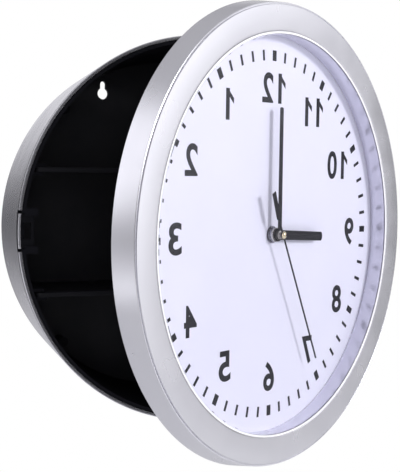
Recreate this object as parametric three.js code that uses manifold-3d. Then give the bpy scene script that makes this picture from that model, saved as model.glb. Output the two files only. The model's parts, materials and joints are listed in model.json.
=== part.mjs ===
// Clock diversion safe: a round wall clock whose front is a door on a hinge, with a
// hollow case behind it that holds two shelves.
// Millimetres, +Z up, the wall at y = 0, the dial faces -Y when the door is shut.
import * as THREE from "three";
import { mergeVertices } from "three/addons/utils/BufferGeometryUtils.js";
import Module from "manifold-3d";

// Driving dimensions of the case
const caseDepth = 63.5;
const openingRadius = 111.3;
const caseTaper = 7.9;
const shellWall = 1.9;
const linerWall = 1.8;
const backPlateThickness = 2.5;

// Driving dimensions of the door, its window a little smaller than the opening of the case
const faceOverlap = 1.6;
const faceWidth = 15.4;
const bezelFlare = 1.7;
const doorGap = 1;
const faceInnerRadius = openingRadius - faceOverlap;
const bezelFrontRadius = faceInnerRadius + faceWidth;
const bezelBackRadius = bezelFrontRadius + bezelFlare;

// Layers of the door from its back: the dial, the hands counted from the dial, the crystal
const dialSetback = 2.83;
const hourHandFront = 5.1;
const minuteHandFront = 6.6;
const secondHandFront = 7.9;
const capGap = 0.3;
const capThickness = 0.7;
const handRoom = 0.27;
const crystalThickness = 1.4;
const crystalSetback = 0.2;
const handsDepth = secondHandFront + capGap + capThickness + handRoom;
const bezelDepth = dialSetback + handsDepth + crystalThickness + crystalSetback;

// Pose of the door
const openAngle = THREE.MathUtils.degToRad(27);

// Clearances
const seat = 0.3;
const slip = 0.3;
const turning = 0.15;
const overrun = 1;
const weldDistance = 0.0001;

// Facets of round pieces
const ringFacets = 72;
const rodFacets = 12;
const arcStep = THREE.MathUtils.degToRad(18);

// Case outline
const rimRadius = openingRadius + shellWall;
const caseBackRadius = rimRadius - caseTaper;
const rimY = -caseDepth;
const rimRound = 0.3;
const backRound = 1;
const grooveSetback = 4.2;
const grooveWidth = 1;
const grooveDepth = 0.6;
const linerSetback = 0.5;

// Door planes, shut
const doorBackY = rimY - doorGap;
const doorCornerY = doorBackY - bezelDepth;
const dialY = doorBackY - dialSetback;

// Bezel section
const bezelWall = 1.8;
const faceThickness = 1.8;
const faceCrown = 0.9;
const faceDip = 0.1;
const cornerStep = 0.5;
const cornerRound = 0.3;
const crownPoints = 5;
const beadWidth = 1.2;
const beadGroove = 0.4;
const innerWall = 1.6;
const crystalFoot = 1.6;

// Crystal, a clear cup whose side wall reaches the dial
const crystalWall = 1.3;
const crystalRound = 0.8;
const footWidth = 3.9;
const footRadius = faceInnerRadius - seat + footWidth;

// Dial
const dialThickness = 0.8;
const dialHoleRadius = 4.3;
const printThickness = 0.3;
const tickInset = 12.2;
const tickRadius = faceInnerRadius - tickInset;
const tickLength = 5.7;
const minuteTickWidth = 1.45;
const hourTickWidth = 3.5;
const numeralInset = 17.5;
const numeralRadius = tickRadius - numeralInset;
const numeralHeight = 16.4;
const numeralWidth = 10.3;
const narrowWidth = 6.9;
const numeralStroke = 3.2;
const numeralGap = 4.9;
const minuteCount = 60;
const hourCount = 12;
const mirrored = -1;

// Door back and its screws
const doorBackThickness = 1.5;
const doorBackRecess = 0.2;
const screwShank = 1.3;
const screwHead = 2.6;
const screwHeadThickness = 1.5;
const doorScrewRadius = (footRadius + bezelBackRadius - bezelWall) / 2;
const doorScrewCount = 6;
const doorScrewLength = 8;
const bossRadius = 3.1;

// Hinge, its axis in the plane of the door's back, just outside the rim of the case
const hingeStandOff = 1.8;
const hingeX = rimRadius + hingeStandOff;
const hingeY = doorBackY;
const knuckleRadius = 2.4;
const knuckleLength = 8;
const earLength = 4;
const hingePitch = 52;
const hingePinRadius = 1.1;
const hingePinHead = 1.9;
const hingePinHeadThickness = 1;
const earReach = 9;
const earDepth = 9;
const earRise = 0.4;
const pocketMargin = 0.5;

// Catch in the lip at the free side of the case
const catchLength = 19.4;
const catchEndGap = 1.8;
const catchDepth = 4.2;
const catchTravel = 1.6;
const catchPlateLength = 8;
const catchPlateThickness = 1.8;
const catchPlateSetback = 1.5;
const catchWindowHeight = 9.2;
const catchWindowSetback = 1.2;
const catchWindowWidth = 4.8;
const catchGuide = 2.8;
const catchGuideOverlap = 1.2;
const hookThickness = 1.5;
const hookHeight = 7.6;
const hookBarb = 1.9;
const hookBarbThickness = 1.6;

// Shelves and the slots that hold them
const shelfPitch = 69.8;
const shelfMiddle = -1;
const shelfThickness = 2.5;
const shelfSetback = 3;
const shelfCornerRound = 3;
const slotRib = 1.6;
const slotRibReach = 7;
const slotRibSetback = 6;

// Keyholes in the back plate
const keyholeInset = 14;
const keyholeAngle = THREE.MathUtils.degToRad(62.5);
const keyholeX = (caseBackRadius - keyholeInset) * Math.cos(keyholeAngle);
const keyholeZ = (caseBackRadius - keyholeInset) * Math.sin(keyholeAngle);
const keyholeRadius = 3.5;
const keyholeSlotHalf = 1.85;
const keyholeRise = 5.7;

// Screws of the back plate
const backScrewCount = 4;
const backBossInset = 2.2;
const backBossLength = 11;
const backScrewLength = 9;

// Battery, which sets the size of the clock movement
const batteryRadius = 7.1;
const batteryLength = 48.5;
const batteryNubRadius = 2.7;
const batteryNubLength = 1.3;
const bayMargin = 0.5;
const bayEnd = 3.1;
const contactThickness = 0.4;
const contactWidth = 9;

// Clock movement
const movementSize = batteryLength + batteryNubLength + 2 * bayEnd;
const movementDepth = 16;
const movementWall = 1.4;
const movementRound = 4;
const movementLidThickness = 1.4;
const washerThickness = 0.8;
const washerRadius = 9;
const neckRadius = 3.9;
const neckFlange = 6;
const neckFlangeThickness = 1;
const neckFront = 3.4;
const nutRadius = 5.6;
const nutThickness = 2.4;
const nutSides = 6;

// Works inside the movement
const coilRadius = 4;
const coilLength = 22;
const coilFlange = 0.9;
const coilX = -6;
const coilMargin = 1.6;
const boardThickness = 1;
const boardHeight = 15;
const boardGap = 2;
const wheelMargin = 2.3;
const wheelThickness = 0.9;
const minuteWheelRadius = 2.4;
const setRatio = 3;
const hourRatio = 4;
const setWheelRadius = setRatio * minuteWheelRadius;
const setPinionRadius = 1.92;
const hourWheelRadius = hourRatio * setPinionRadius;
const secondWheelRadius = 6;
const wheelPitch = 2.6;
const knobRadius = 5;
const knobThickness = 2.6;
const knobShaft = 1.2;
const knobFlutes = 12;
const knobFluteRadius = 0.6;

// Arbors, one inside the other
const hourPipeOuter = 2.6;
const hourPipeInner = 1.85;
const minutePipeOuter = 1.65;
const minutePipeInner = 0.95;
const secondArbor = 0.75;

// Hands
const handThickness = 0.5;
const hourHandLength = 44.5;
const hourHandWidth = 5.2;
const hourHandEye = 4.4;
const hourHandRibWidth = 1.2;
const hourHandRibRise = 0.3;
const minuteHandLength = 69.5;
const minuteHandWidth = 3.4;
const minuteHandEye = 3.4;
const secondHandLength = 80;
const secondHandWidth = 1;
const secondHandThickness = 0.4;
const secondTailLength = 24;
const secondPaddleLength = 15;
const secondPaddleWidth = 3.2;
const capRadius = 2;
const hourHandAngle = THREE.MathUtils.degToRad(-93);
const minuteHandAngle = 0;
const secondHandAngle = THREE.MathUtils.degToRad(-153.7);

// Materials: colour, roughness, metalness
const silverPaint = [0xc9c9cf, 0.32, 0.55];
const blackPlastic = [0x151518, 0.62, 0];
const whitePlastic = [0xf1f0f7, 0.5, 0];
const handPaint = [0x17171a, 0.4, 0.1];
const clearPlastic = [0xf4f4fb, 0.06, 0];
const brass = [0xb98f4a, 0.3, 0.9];
const steel = [0x9a9ca1, 0.35, 0.9];
const copper = [0xb4683a, 0.35, 0.9];
const boardGreen = [0x2f6b45, 0.5, 0];
const batteryWrap = [0x6f757c, 0.4, 0.3];
const rubberBlack = [0x232325, 0.85, 0];

const wasm = await Module();
wasm.setup();

// Turns a closed geometry into a solid that can be joined and cut.
function solid(geometry) {
  const bare = new THREE.BufferGeometry();
  bare.setAttribute("position", geometry.getAttribute("position"));
  if (geometry.index) bare.setIndex(geometry.index);
  const merged = mergeVertices(bare, weldDistance);
  return new wasm.Manifold(new wasm.Mesh({
    numProp: 3,
    vertProperties: new Float32Array(merged.getAttribute("position").array),
    triVerts: new Uint32Array(merged.index.array),
  }));
}

// Turns a solid back into a geometry.
function skin(body) {
  const mesh = body.getMesh();
  const geometry = new THREE.BufferGeometry();
  geometry.setAttribute("position", new THREE.BufferAttribute(mesh.vertProperties, 3));
  geometry.setIndex(new THREE.BufferAttribute(mesh.triVerts, 1));
  geometry.computeVertexNormals();
  return geometry;
}

function join(geometries) {
  return geometries.map(solid).reduce((whole, next) => whole.add(next));
}

function cut(body, geometries) {
  return geometries.map(solid).reduce((whole, next) => whole.subtract(next), body);
}

// Spins a closed section of [radius, y] points round the Y axis.
function ring(section, facets = ringFacets) {
  const points = section.map(([radius, y]) => new THREE.Vector2(radius, y));
  if (THREE.ShapeUtils.area(points) < 0) points.reverse();
  return new THREE.LatheGeometry([...points, points[0].clone()], facets);
}

// Spins a section that starts and ends on the Y axis.
function disc(section, facets = ringFacets) {
  const points = section.map(([radius, y]) => new THREE.Vector2(radius, y));
  if (THREE.ShapeUtils.area(points) < 0) points.reverse();
  return new THREE.LatheGeometry(points, facets);
}

// A flat round plate from one y to another.
function plate(radius, frontY, backY) {
  return disc([[0, frontY], [radius, frontY], [radius, backY], [0, backY]]);
}

// Extrudes an outline drawn in x and z towards the front.
function slab(outline, backY, thickness, curveSegments = rodFacets) {
  const options = { depth: thickness, bevelEnabled: false, curveSegments };
  return new THREE.ExtrudeGeometry(outline, options).rotateX(Math.PI / 2).translate(0, backY, 0);
}

// Extrudes an outline drawn in x and y upwards.
function upright(outline, lowZ, height, curveSegments = rodFacets) {
  const options = { depth: height, bevelEnabled: false, curveSegments };
  return new THREE.ExtrudeGeometry(outline, options).translate(0, 0, lowZ);
}

function polygon(points) {
  return new THREE.Shape(points.map(([x, y]) => new THREE.Vector2(x, y)));
}

function circle(radius, x = 0, z = 0) {
  const outline = new THREE.Path();
  outline.absarc(x, z, radius, 0, 2 * Math.PI, false);
  return outline;
}

// A round bar along Y.
function rod(radius, fromY, toY, x = 0, z = 0, facets = rodFacets) {
  const length = Math.abs(toY - fromY);
  return new THREE.CylinderGeometry(radius, radius, length, facets)
    .translate(x, (fromY + toY) / 2, z);
}

// A round bar along Z.
function post(radius, fromZ, toZ, x, y, facets = rodFacets) {
  return new THREE.CylinderGeometry(radius, radius, toZ - fromZ, facets)
    .rotateX(Math.PI / 2).translate(x, y, (fromZ + toZ) / 2);
}

// A round bar along X.
function bar(radius, fromX, toX, y, z, facets = rodFacets) {
  return new THREE.CylinderGeometry(radius, radius, toX - fromX, facets)
    .rotateZ(Math.PI / 2).translate((fromX + toX) / 2, y, z);
}

function box([lowX, highX], [lowY, highY], [lowZ, highZ]) {
  return new THREE.BoxGeometry(highX - lowX, highY - lowY, highZ - lowZ)
    .translate((lowX + highX) / 2, (lowY + highY) / 2, (lowZ + highZ) / 2);
}

function pipe(outer, inner, fromY, toY, facets = rodFacets) {
  return ring([[inner, fromY], [outer, fromY], [outer, toY], [inner, toY]], facets);
}

function roundedSquare(size, radius, centreZ) {
  const reach = size / 2 - radius;
  const outline = new THREE.Shape();
  outline.absarc(reach, centreZ + reach, radius, 0, Math.PI / 2);
  outline.absarc(-reach, centreZ + reach, radius, Math.PI / 2, Math.PI);
  outline.absarc(-reach, centreZ - reach, radius, Math.PI, 1.5 * Math.PI);
  outline.absarc(reach, centreZ - reach, radius, 1.5 * Math.PI, 2 * Math.PI);
  return outline;
}

function material([color, roughness, metalness]) {
  return new THREE.MeshStandardMaterial({ color, roughness, metalness });
}

function addPiece(group, name, geometry, finish) {
  const mesh = new THREE.Mesh(geometry, material(finish));
  mesh.name = name;
  group.add(mesh);
}

// Places copies of a piece round the Y axis, the first one at firstAngle from +X.
function roundAxis(count, firstAngle, radius, place) {
  return Array.from({ length: count }, (_, index) => {
    const angle = firstAngle + (2 * Math.PI * index) / count;
    return place(radius * Math.cos(angle), radius * Math.sin(angle));
  });
}

// Radii of the tapered case at a depth y
function outerAt(y) {
  return rimRadius + ((caseBackRadius - rimRadius) * (y - rimY)) / caseDepth;
}

function innerAt(y) {
  return outerAt(y) - shellWall;
}

function linerOuterAt(y) {
  return innerAt(y) - slip;
}

function linerInnerAt(y) {
  return linerOuterAt(y) - linerWall;
}

function chordHalf(radius, z) {
  return Math.sqrt(radius * radius - z * z);
}

const hingeHeights = [-hingePitch / 2, hingePitch / 2];

// Outline of a hinge ear: a round knuckle on the hinge axis with a web to the case wall.
function earOutline() {
  const outline = new THREE.Shape();
  outline.moveTo(hingeX, hingeY + knuckleRadius);
  outline.absarc(hingeX, hingeY, knuckleRadius, Math.PI / 2, -Math.PI, true);
  outline.lineTo(hingeX - earReach, hingeY + earRise);
  outline.lineTo(hingeX - earReach, hingeY + earDepth);
  return outline;
}

function earSpans(middle) {
  const inner = knuckleLength / 2 + slip;
  return [[middle - inner - earLength, middle - inner], [middle + inner, middle + inner + earLength]];
}

// Silver outer shell with its lip, its groove and the ears of the hinge
function caseShell() {
  const grooveFront = rimY + grooveSetback;
  const grooveBack = grooveFront + grooveWidth;
  const body = disc([
    [0, rimY],
    [rimRadius - rimRound, rimY],
    [rimRadius, rimY + rimRound],
    [outerAt(grooveFront), grooveFront],
    [outerAt(grooveFront) - grooveDepth, grooveFront + grooveWidth / 3],
    [outerAt(grooveBack) - grooveDepth, grooveBack - grooveWidth / 3],
    [outerAt(grooveBack), grooveBack],
    [outerAt(-backRound), -backRound],
    [outerAt(0) - backRound, 0],
    [0, 0],
  ]);
  const ears = hingeHeights.flatMap((middle) => earSpans(middle)
    .map(([low, high]) => upright(earOutline(), low, high - low)));
  const hollow = disc([
    [0, rimY - overrun - doorGap],
    [innerAt(rimY - overrun - doorGap), rimY - overrun - doorGap],
    [innerAt(overrun), overrun],
    [0, overrun],
  ]);
  const pinHoles = hingeHeights.map((middle) => {
    const reach = knuckleLength / 2 + slip + earLength + overrun;
    return post(hingePinRadius + turning, middle - reach, middle + reach, hingeX, hingeY);
  });
  const notchHalf = catchLength / 2 + catchEndGap;
  const notch = box(
    [-rimRadius - overrun, -innerAt(0)],
    [rimY - overrun, rimY + grooveSetback],
    [-notchHalf, notchHalf],
  );
  return skin(cut(join([body, ...ears]), [hollow, ...pinHoles, notch]));
}

const catchPlateFrontY = rimY + catchPlateSetback;
const catchPlateBackY = catchPlateFrontY + catchPlateThickness;
const catchInnerX = -openingRadius + catchPlateLength;

// Black liner with the slots of the shelves, the guides of the catch and the screw bosses
function caseLiner() {
  const frontY = rimY + linerSetback;
  const backY = -backPlateThickness - seat;
  const outside = disc([
    [0, frontY],
    [linerOuterAt(frontY), frontY],
    [linerOuterAt(backY), backY],
    [0, backY],
  ]);
  const inside = disc([
    [0, frontY - overrun],
    [linerInnerAt(frontY - overrun), frontY - overrun],
    [linerInnerAt(backY + overrun), backY + overrun],
    [0, backY + overrun],
  ]);
  const wall = solid(outside).subtract(solid(inside));

  const ribFrontY = rimY + slotRibSetback;
  const ribs = shelfHeights().flatMap((middle) => [-1, 1].flatMap((level) => {
    const offset = shelfThickness / 2 + slip + slotRib / 2;
    const z = middle + level * offset;
    return [-1, 1].map((side) => {
      const inner = (y) => side * (chordHalf(linerInnerAt(y), z) - slotRibReach);
      const outer = side * rimRadius;
      return upright(polygon([
        [inner(ribFrontY), ribFrontY], [outer, ribFrontY], [outer, backY], [inner(backY), backY],
      ]), z - slotRib / 2, slotRib);
    });
  }));
  const plateHalf = catchLength / 2;
  const guides = [-1, 1].map((side) => {
    const edges = [side * (plateHalf - catchGuideOverlap), side * (plateHalf + catchGuide)];
    return box(
      [-rimRadius, catchInnerX + catchTravel + slip],
      [frontY, catchPlateBackY + catchPlateThickness],
      edges.sort((low, high) => low - high),
    );
  });
  const bosses = roundAxis(backScrewCount, Math.PI / 4, backScrewPlace(), (x, z) =>
    rod(bossRadius, backY - backBossLength, backY, x, z));
  const fittings = join([...ribs, ...guides, ...bosses]).intersect(solid(outside));

  const plateTrack = box(
    [-rimRadius - overrun, catchInnerX + catchTravel + slip + overrun],
    [catchPlateFrontY - slip, catchPlateBackY + slip],
    [-plateHalf - slip, plateHalf + slip],
  );
  const buttonTrack = box(
    [-rimRadius - overrun, -chordHalf(openingRadius, plateHalf) + catchTravel + slip],
    [frontY - overrun, rimY + catchDepth],
    [-plateHalf - slip, plateHalf + slip],
  );
  const mouth = box(
    [-rimRadius - overrun, catchInnerX + catchTravel + slip + overrun],
    [frontY - overrun, catchPlateBackY + slip],
    [-plateHalf + catchGuideOverlap, plateHalf - catchGuideOverlap],
  );
  const screwHoles = roundAxis(backScrewCount, Math.PI / 4, backScrewPlace(), (x, z) =>
    rod(screwShank + turning, backY - backScrewLength - overrun, overrun, x, z));
  return skin(cut(wall.add(fittings), [plateTrack, buttonTrack, mouth, ...screwHoles]));
}

function shelfHeights() {
  return [shelfMiddle - shelfPitch / 2, shelfMiddle + shelfPitch / 2];
}

function backScrewPlace() {
  return linerInnerAt(-backPlateThickness) - backBossInset;
}

// Board that slides into its slots from the front
function shelf(middle) {
  const farZ = Math.abs(middle) + shelfThickness / 2;
  const frontY = rimY + shelfSetback;
  const backY = -backPlateThickness - seat;
  const cornerY = frontY + shelfCornerRound;
  const half = (y) => chordHalf(linerInnerAt(y), farZ) - 2 * slip;
  const outline = new THREE.Shape();
  outline.moveTo(-half(backY), backY);
  outline.lineTo(-half(cornerY), cornerY);
  outline.quadraticCurveTo(-half(cornerY), frontY, -half(cornerY) + shelfCornerRound, frontY);
  outline.lineTo(half(cornerY) - shelfCornerRound, frontY);
  outline.quadraticCurveTo(half(cornerY), frontY, half(cornerY), cornerY);
  outline.lineTo(half(backY), backY);
  return upright(outline, middle - shelfThickness / 2, shelfThickness, rodFacets / 4);
}

// Keyhole: a round hole for the screw's head with a slot above it for the shank
function keyhole(centreX) {
  const spread = Math.asin(keyholeSlotHalf / keyholeRadius);
  const outline = new THREE.Shape();
  const turn = 2 * Math.PI;
  outline.absarc(centreX, keyholeZ, keyholeRadius, turn / 4 + spread, turn / 4 - spread + turn, false);
  outline.absarc(centreX, keyholeZ + keyholeRise, keyholeSlotHalf, 0, Math.PI, false);
  return outline;
}

// Flat black plate that closes the case at the wall
function backPlate() {
  const body = solid(plate(linerOuterAt(0), -backPlateThickness, 0));
  const screwHoles = roundAxis(backScrewCount, Math.PI / 4, backScrewPlace(), (x, z) => [
    rod(screwShank + turning, -backPlateThickness - overrun, overrun, x, z),
    rod(screwHead + turning, -screwHeadThickness - turning, overrun, x, z),
  ]);
  const keyholes = [-keyholeX, keyholeX].map((centreX) =>
    slab(keyhole(centreX), overrun, backPlateThickness + 2 * overrun));
  return skin(cut(body, [...screwHoles.flat(), ...keyholes]));
}

// Screw driven towards the front, its head seated at headY
function screw(headY, length, x, z) {
  return skin(join([
    rod(screwShank, headY - length, headY, x, z),
    rod(screwHead, headY, headY + screwHeadThickness, x, z),
  ]));
}

function backScrews() {
  return roundAxis(backScrewCount, Math.PI / 4, backScrewPlace(), (x, z) =>
    screw(-screwHeadThickness, backScrewLength, x, z));
}

// Black plate of the catch: its window takes the door's hook
function catchPlate() {
  const half = catchLength / 2;
  const blank = box([-rimRadius, catchInnerX], [catchPlateFrontY, catchPlateBackY], [-half, half]);
  const rim = plate(openingRadius + seat, catchPlateFrontY - overrun, catchPlateBackY + overrun);
  const body = solid(blank).intersect(solid(rim));
  const windowX = -openingRadius + catchWindowSetback;
  return skin(cut(body, [box(
    [windowX, windowX + catchWindowWidth],
    [catchPlateFrontY - overrun, catchPlateBackY + overrun],
    [-catchWindowHeight / 2, catchWindowHeight / 2],
  )]));
}

// Silver bar in the notch of the lip, pressed inwards to free the door
function catchButton() {
  const sector = Math.asin(catchLength / 2 / rimRadius);
  const outline = new THREE.Shape();
  outline.absarc(0, 0, rimRadius - rimRound, Math.PI - sector, Math.PI + sector, false);
  outline.absarc(0, 0, openingRadius + 2 * seat, Math.PI + sector, Math.PI - sector, true);
  return slab(outline, rimY + catchDepth - slip, catchDepth - slip - seat, rodFacets / 2);
}

// Silver ring that frames the dial, hollow behind, with bosses for the screws of the door back
function bezelRing() {
  const faceInnerY = doorCornerY - faceDip;
  const channelY = doorCornerY + faceThickness;
  const innerWallEndY = dialY - seat - crystalFoot - seat;
  const crown = Array.from({ length: crownPoints }, (_, index) => {
    const along = index / (crownPoints - 1);
    const outerR = bezelFrontRadius - cornerStep - cornerRound;
    const innerR = faceInnerRadius + beadWidth;
    const rise = 4 * faceCrown * along * (1 - along);
    return [outerR + (innerR - outerR) * along, doorCornerY - rise - faceDip * along];
  });
  const section = [
    [bezelBackRadius, doorBackY],
    [bezelFrontRadius, doorCornerY + cornerStep],
    [bezelFrontRadius - cornerStep, doorCornerY + cornerStep],
    [bezelFrontRadius - cornerStep, doorCornerY + cornerRound],
    ...crown,
    [faceInnerRadius + beadWidth - beadGroove / 2, faceInnerY + beadGroove],
    [faceInnerRadius + beadWidth - beadGroove, faceInnerY],
    [faceInnerRadius + beadGroove, faceInnerY - beadGroove / 2],
    [faceInnerRadius, faceInnerY + beadGroove / 2],
    [faceInnerRadius, innerWallEndY],
    [faceInnerRadius + innerWall, innerWallEndY],
    [faceInnerRadius + innerWall, channelY],
    [bezelInnerAt(channelY), channelY],
    [bezelBackRadius - bezelWall, doorBackY],
  ];
  const bossEndY = doorBackY - doorBackRecess - doorBackThickness - seat;
  const bosses = roundAxis(doorScrewCount, Math.PI / 6, doorScrewRadius, (x, z) =>
    rod(bossRadius, channelY - faceThickness / 2, bossEndY, x, z));
  const holes = roundAxis(doorScrewCount, Math.PI / 6, doorScrewRadius, (x, z) =>
    rod(screwShank + turning, bossEndY - doorScrewLength, bossEndY + overrun, x, z));
  return skin(cut(join([ring(section), ...bosses]), holes));
}

function bezelInnerAt(y) {
  const slope = (bezelBackRadius - bezelFrontRadius) / bezelDepth;
  return bezelBackRadius - bezelWall + slope * (y - doorBackY);
}

// Clear cup: a flat window, a side wall down to the dial and a foot that the bezel clamps
function crystal() {
  const frontY = doorCornerY + crystalSetback;
  const outer = faceInnerRadius - seat;
  const footBackY = dialY - seat;
  const footFrontY = footBackY - crystalFoot;
  return disc([
    [0, frontY],
    [outer - crystalRound, frontY],
    [outer, frontY + crystalRound],
    [outer, footFrontY],
    [footRadius, footFrontY],
    [footRadius, footBackY],
    [outer - crystalWall, footBackY],
    [outer - crystalWall, frontY + crystalThickness],
    [0, frontY + crystalThickness],
  ]);
}

// White dial with its raised print
function dialPlate() {
  const body = plate(footRadius, dialY, dialY + dialThickness);
  const hole = rod(dialHoleRadius, dialY - overrun, dialY + dialThickness + overrun);
  return skin(cut(join([body, ...printed([...tickMarks(), ...numerals()])]), [hole]));
}

// Print on the dial, drawn as read and then mirrored with the dial
function printed(outlines) {
  const backY = dialY + dialThickness / 2;
  return outlines.map((points) => slab(polygon(points), backY, dialThickness / 2 + printThickness));
}

function tickMarks() {
  return Array.from({ length: minuteCount }, (_, index) => {
    const width = index % (minuteCount / hourCount) === 0 ? hourTickWidth : minuteTickWidth;
    const low = tickRadius - tickLength / 2;
    const high = tickRadius + tickLength / 2;
    const outline = [[-width / 2, low], [width / 2, low], [width / 2, high], [-width / 2, high]];
    const angle = (2 * Math.PI * index) / minuteCount;
    return outline.map(([x, z]) => [
      mirrored * (x * Math.cos(angle) + z * Math.sin(angle)),
      z * Math.cos(angle) - x * Math.sin(angle),
    ]);
  });
}

// Strokes of the numerals, round their own centre
const halfW = numeralWidth / 2;
const halfH = numeralHeight / 2;
const halfNarrow = narrowWidth / 2;
const bowl = (numeralHeight + numeralStroke) / 4;
const bigBowlShare = 0.33;
const bigBowl = numeralHeight * bigBowlShare;
const smallBowlShare = 0.9;
const smallBowl = halfW * smallBowlShare;

function band(centreZ, radiusX, radiusZ, fromDegrees, toDegrees) {
  const from = THREE.MathUtils.degToRad(fromDegrees);
  const to = THREE.MathUtils.degToRad(toDegrees);
  const steps = Math.ceil(Math.abs(to - from) / arcStep);
  const angles = Array.from({ length: steps + 1 }, (_, index) => from + ((to - from) * index) / steps);
  const edge = (inset) => angles.map((angle) => [
    (radiusX - inset) * Math.cos(angle),
    centreZ + (radiusZ - inset) * Math.sin(angle),
  ]);
  return [...edge(0), ...edge(numeralStroke).reverse()];
}

function loop(centreZ, radiusX, radiusZ) {
  return [band(centreZ, radiusX, radiusZ, 0, 190), band(centreZ, radiusX, radiusZ, 180, 370)];
}

function flat(lowX, highX, lowZ, highZ) {
  return [[lowX, lowZ], [highX, lowZ], [highX, highZ], [lowX, highZ]];
}

function slant([topX, topZ], [lowX, lowZ], width) {
  return [[topX - width, topZ], [topX, topZ], [lowX + width, lowZ], [lowX, lowZ]];
}

const flagDrop = 4.4;
const flagThickness = 2.7;
const flagRootX = halfNarrow - numeralStroke / 2;
const flagTipX = halfNarrow - numeralStroke;
const flagRootZ = halfH - flagDrop;
const twoHipX = 4.3;
const twoHipDrop = 2.4;
const twoHipZ = halfH - bowl - twoHipDrop;
const slantWidth = 3.5;
const fourBarX = 2;
const fourBarZ = -4.6;
const fiveTopX = 4.1;
const fiveSlantX = 0.5;
const sixStemDegrees = 62;
const sevenFootX = 2.3;
const sevenBar = 1.9;

const digits = {
  0: loop(0, halfW, halfH),
  1: [
    flat(flagTipX, halfNarrow, -halfH, halfH),
    [
      [-halfNarrow, flagRootZ - flagThickness],
      [flagRootX, flagRootZ],
      [flagRootX, halfH],
      [flagTipX, halfH],
      [-halfNarrow, flagRootZ],
    ],
  ],
  2: [
    band(halfH - bowl, halfW, bowl, 172, -35),
    slant([twoHipX, twoHipZ], [-halfW, -halfH + numeralStroke], slantWidth),
    flat(-halfW, halfW, -halfH, -halfH + numeralStroke),
  ],
  3: [
    band(halfH - bowl, smallBowl, bowl, 165, -90),
    band(-halfH + bowl, halfW, bowl, 90, -165),
  ],
  4: [
    flat(fourBarX - numeralStroke / 2, fourBarX + numeralStroke / 2, -halfH, halfH),
    slant([fourBarX + numeralStroke / 2, halfH], [-halfW, fourBarZ + sevenBar], slantWidth),
    flat(-halfW, halfW, fourBarZ, fourBarZ + numeralStroke),
  ],
  5: [
    flat(-fiveTopX, fiveTopX, halfH - numeralStroke, halfH),
    slant([-fiveSlantX, halfH], [-halfW, -halfH + bigBowl], numeralStroke),
    band(-halfH + bigBowl, halfW, bigBowl, 140, -165),
  ],
  6: [...loop(-halfH + bigBowl, halfW, bigBowl), band(0, halfW, halfH, sixStemDegrees, 190)],
  7: [
    flat(-halfW, halfW, halfH - numeralStroke, halfH),
    slant([halfW, halfH - sevenBar], [-sevenFootX, -halfH], slantWidth),
  ],
  8: [...loop(halfH - bowl, smallBowl, bowl), ...loop(-halfH + bowl, halfW, bowl)],
};
digits[9] = digits[6].map((outline) => outline.map(([x, z]) => [-x, -z]));

function numeral(hour) {
  const text = String(hour);
  const widths = [...text].map((digit) => (digit === "1" ? narrowWidth : numeralWidth));
  const total = widths.reduce((sum, width) => sum + width, 0) + (text.length - 1) * numeralGap;
  const angle = (2 * Math.PI * hour) / hourCount;
  let left = numeralRadius * Math.sin(angle) - total / 2;
  const strokes = [];
  for (const [index, digit] of [...text].entries()) {
    const centreX = left + widths[index] / 2;
    const centreZ = numeralRadius * Math.cos(angle);
    for (const stroke of digits[digit]) {
      strokes.push(stroke.map(([x, z]) => [mirrored * (centreX + x), centreZ + z]));
    }
    left += widths[index] + numeralGap;
  }
  return strokes;
}

function numerals() {
  return Array.from({ length: hourCount }, (_, index) => numeral(index + 1)).flat();
}

// Black panel behind the dial with the knuckles of the hinge and the hook of the catch
function doorBack() {
  const backY = doorBackY - doorBackRecess;
  const frontY = backY - doorBackThickness;
  const panel = plate(bezelInnerAt(frontY) - seat, frontY, backY);
  const neckHole = rod(dialHoleRadius, frontY - overrun, backY + overrun);
  const pockets = hingeHeights.flatMap((middle) => earSpans(middle).map(([low, high]) =>
    post(knuckleRadius + pocketMargin, low - slip, high + slip, hingeX, hingeY)));
  const headRooms = hingeHeights.map((middle) => {
    const top = middle + knuckleLength / 2 + slip + earLength;
    return post(knuckleRadius + pocketMargin, top, top + hingePinHeadThickness + 2 * slip, hingeX, hingeY);
  });
  const knuckles = hingeHeights.map((middle) =>
    post(knuckleRadius, middle - knuckleLength / 2, middle + knuckleLength / 2, hingeX, hingeY));
  const pinHoles = hingeHeights.map((middle) =>
    post(hingePinRadius + turning, middle - knuckleLength, middle + knuckleLength, hingeX, hingeY));
  const screwHoles = roundAxis(doorScrewCount, Math.PI / 6, doorScrewRadius, (x, z) =>
    rod(screwShank + turning, frontY - overrun, backY + overrun, x, z));

  const windowX = -openingRadius + catchWindowSetback;
  const shaftX = windowX + catchTravel + slip * 2;
  const barbX = windowX + catchWindowWidth + (hookBarb - hookThickness);
  const barbFrontY = catchPlateBackY + slip * 2;
  const barbBackY = barbFrontY + hookBarbThickness;
  const hookZ = [-hookHeight / 2, hookHeight / 2];
  const hook = join([
    box([shaftX, shaftX + hookThickness], [frontY, barbBackY], hookZ),
    box([shaftX, barbX], [barbFrontY, barbBackY], hookZ),
  ]);
  const pierced = cut(solid(panel), [...pockets, ...headRooms]).add(join(knuckles)).add(hook);
  return skin(cut(pierced, [neckHole, ...pinHoles, ...screwHoles]));
}

function doorScrews() {
  const headY = doorBackY - doorBackRecess + turning;
  return roundAxis(doorScrewCount, Math.PI / 6, doorScrewRadius, (x, z) =>
    screw(headY, doorScrewLength, x, z));
}

function hingePin(middle) {
  const half = knuckleLength / 2 + slip + earLength;
  const headLowZ = middle + half + turning;
  return skin(join([
    post(hingePinRadius, middle - half, middle + half + hingePinHeadThickness, hingeX, hingeY),
    post(hingePinHead, headLowZ, headLowZ + hingePinHeadThickness, hingeX, hingeY),
  ]));
}

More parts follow.
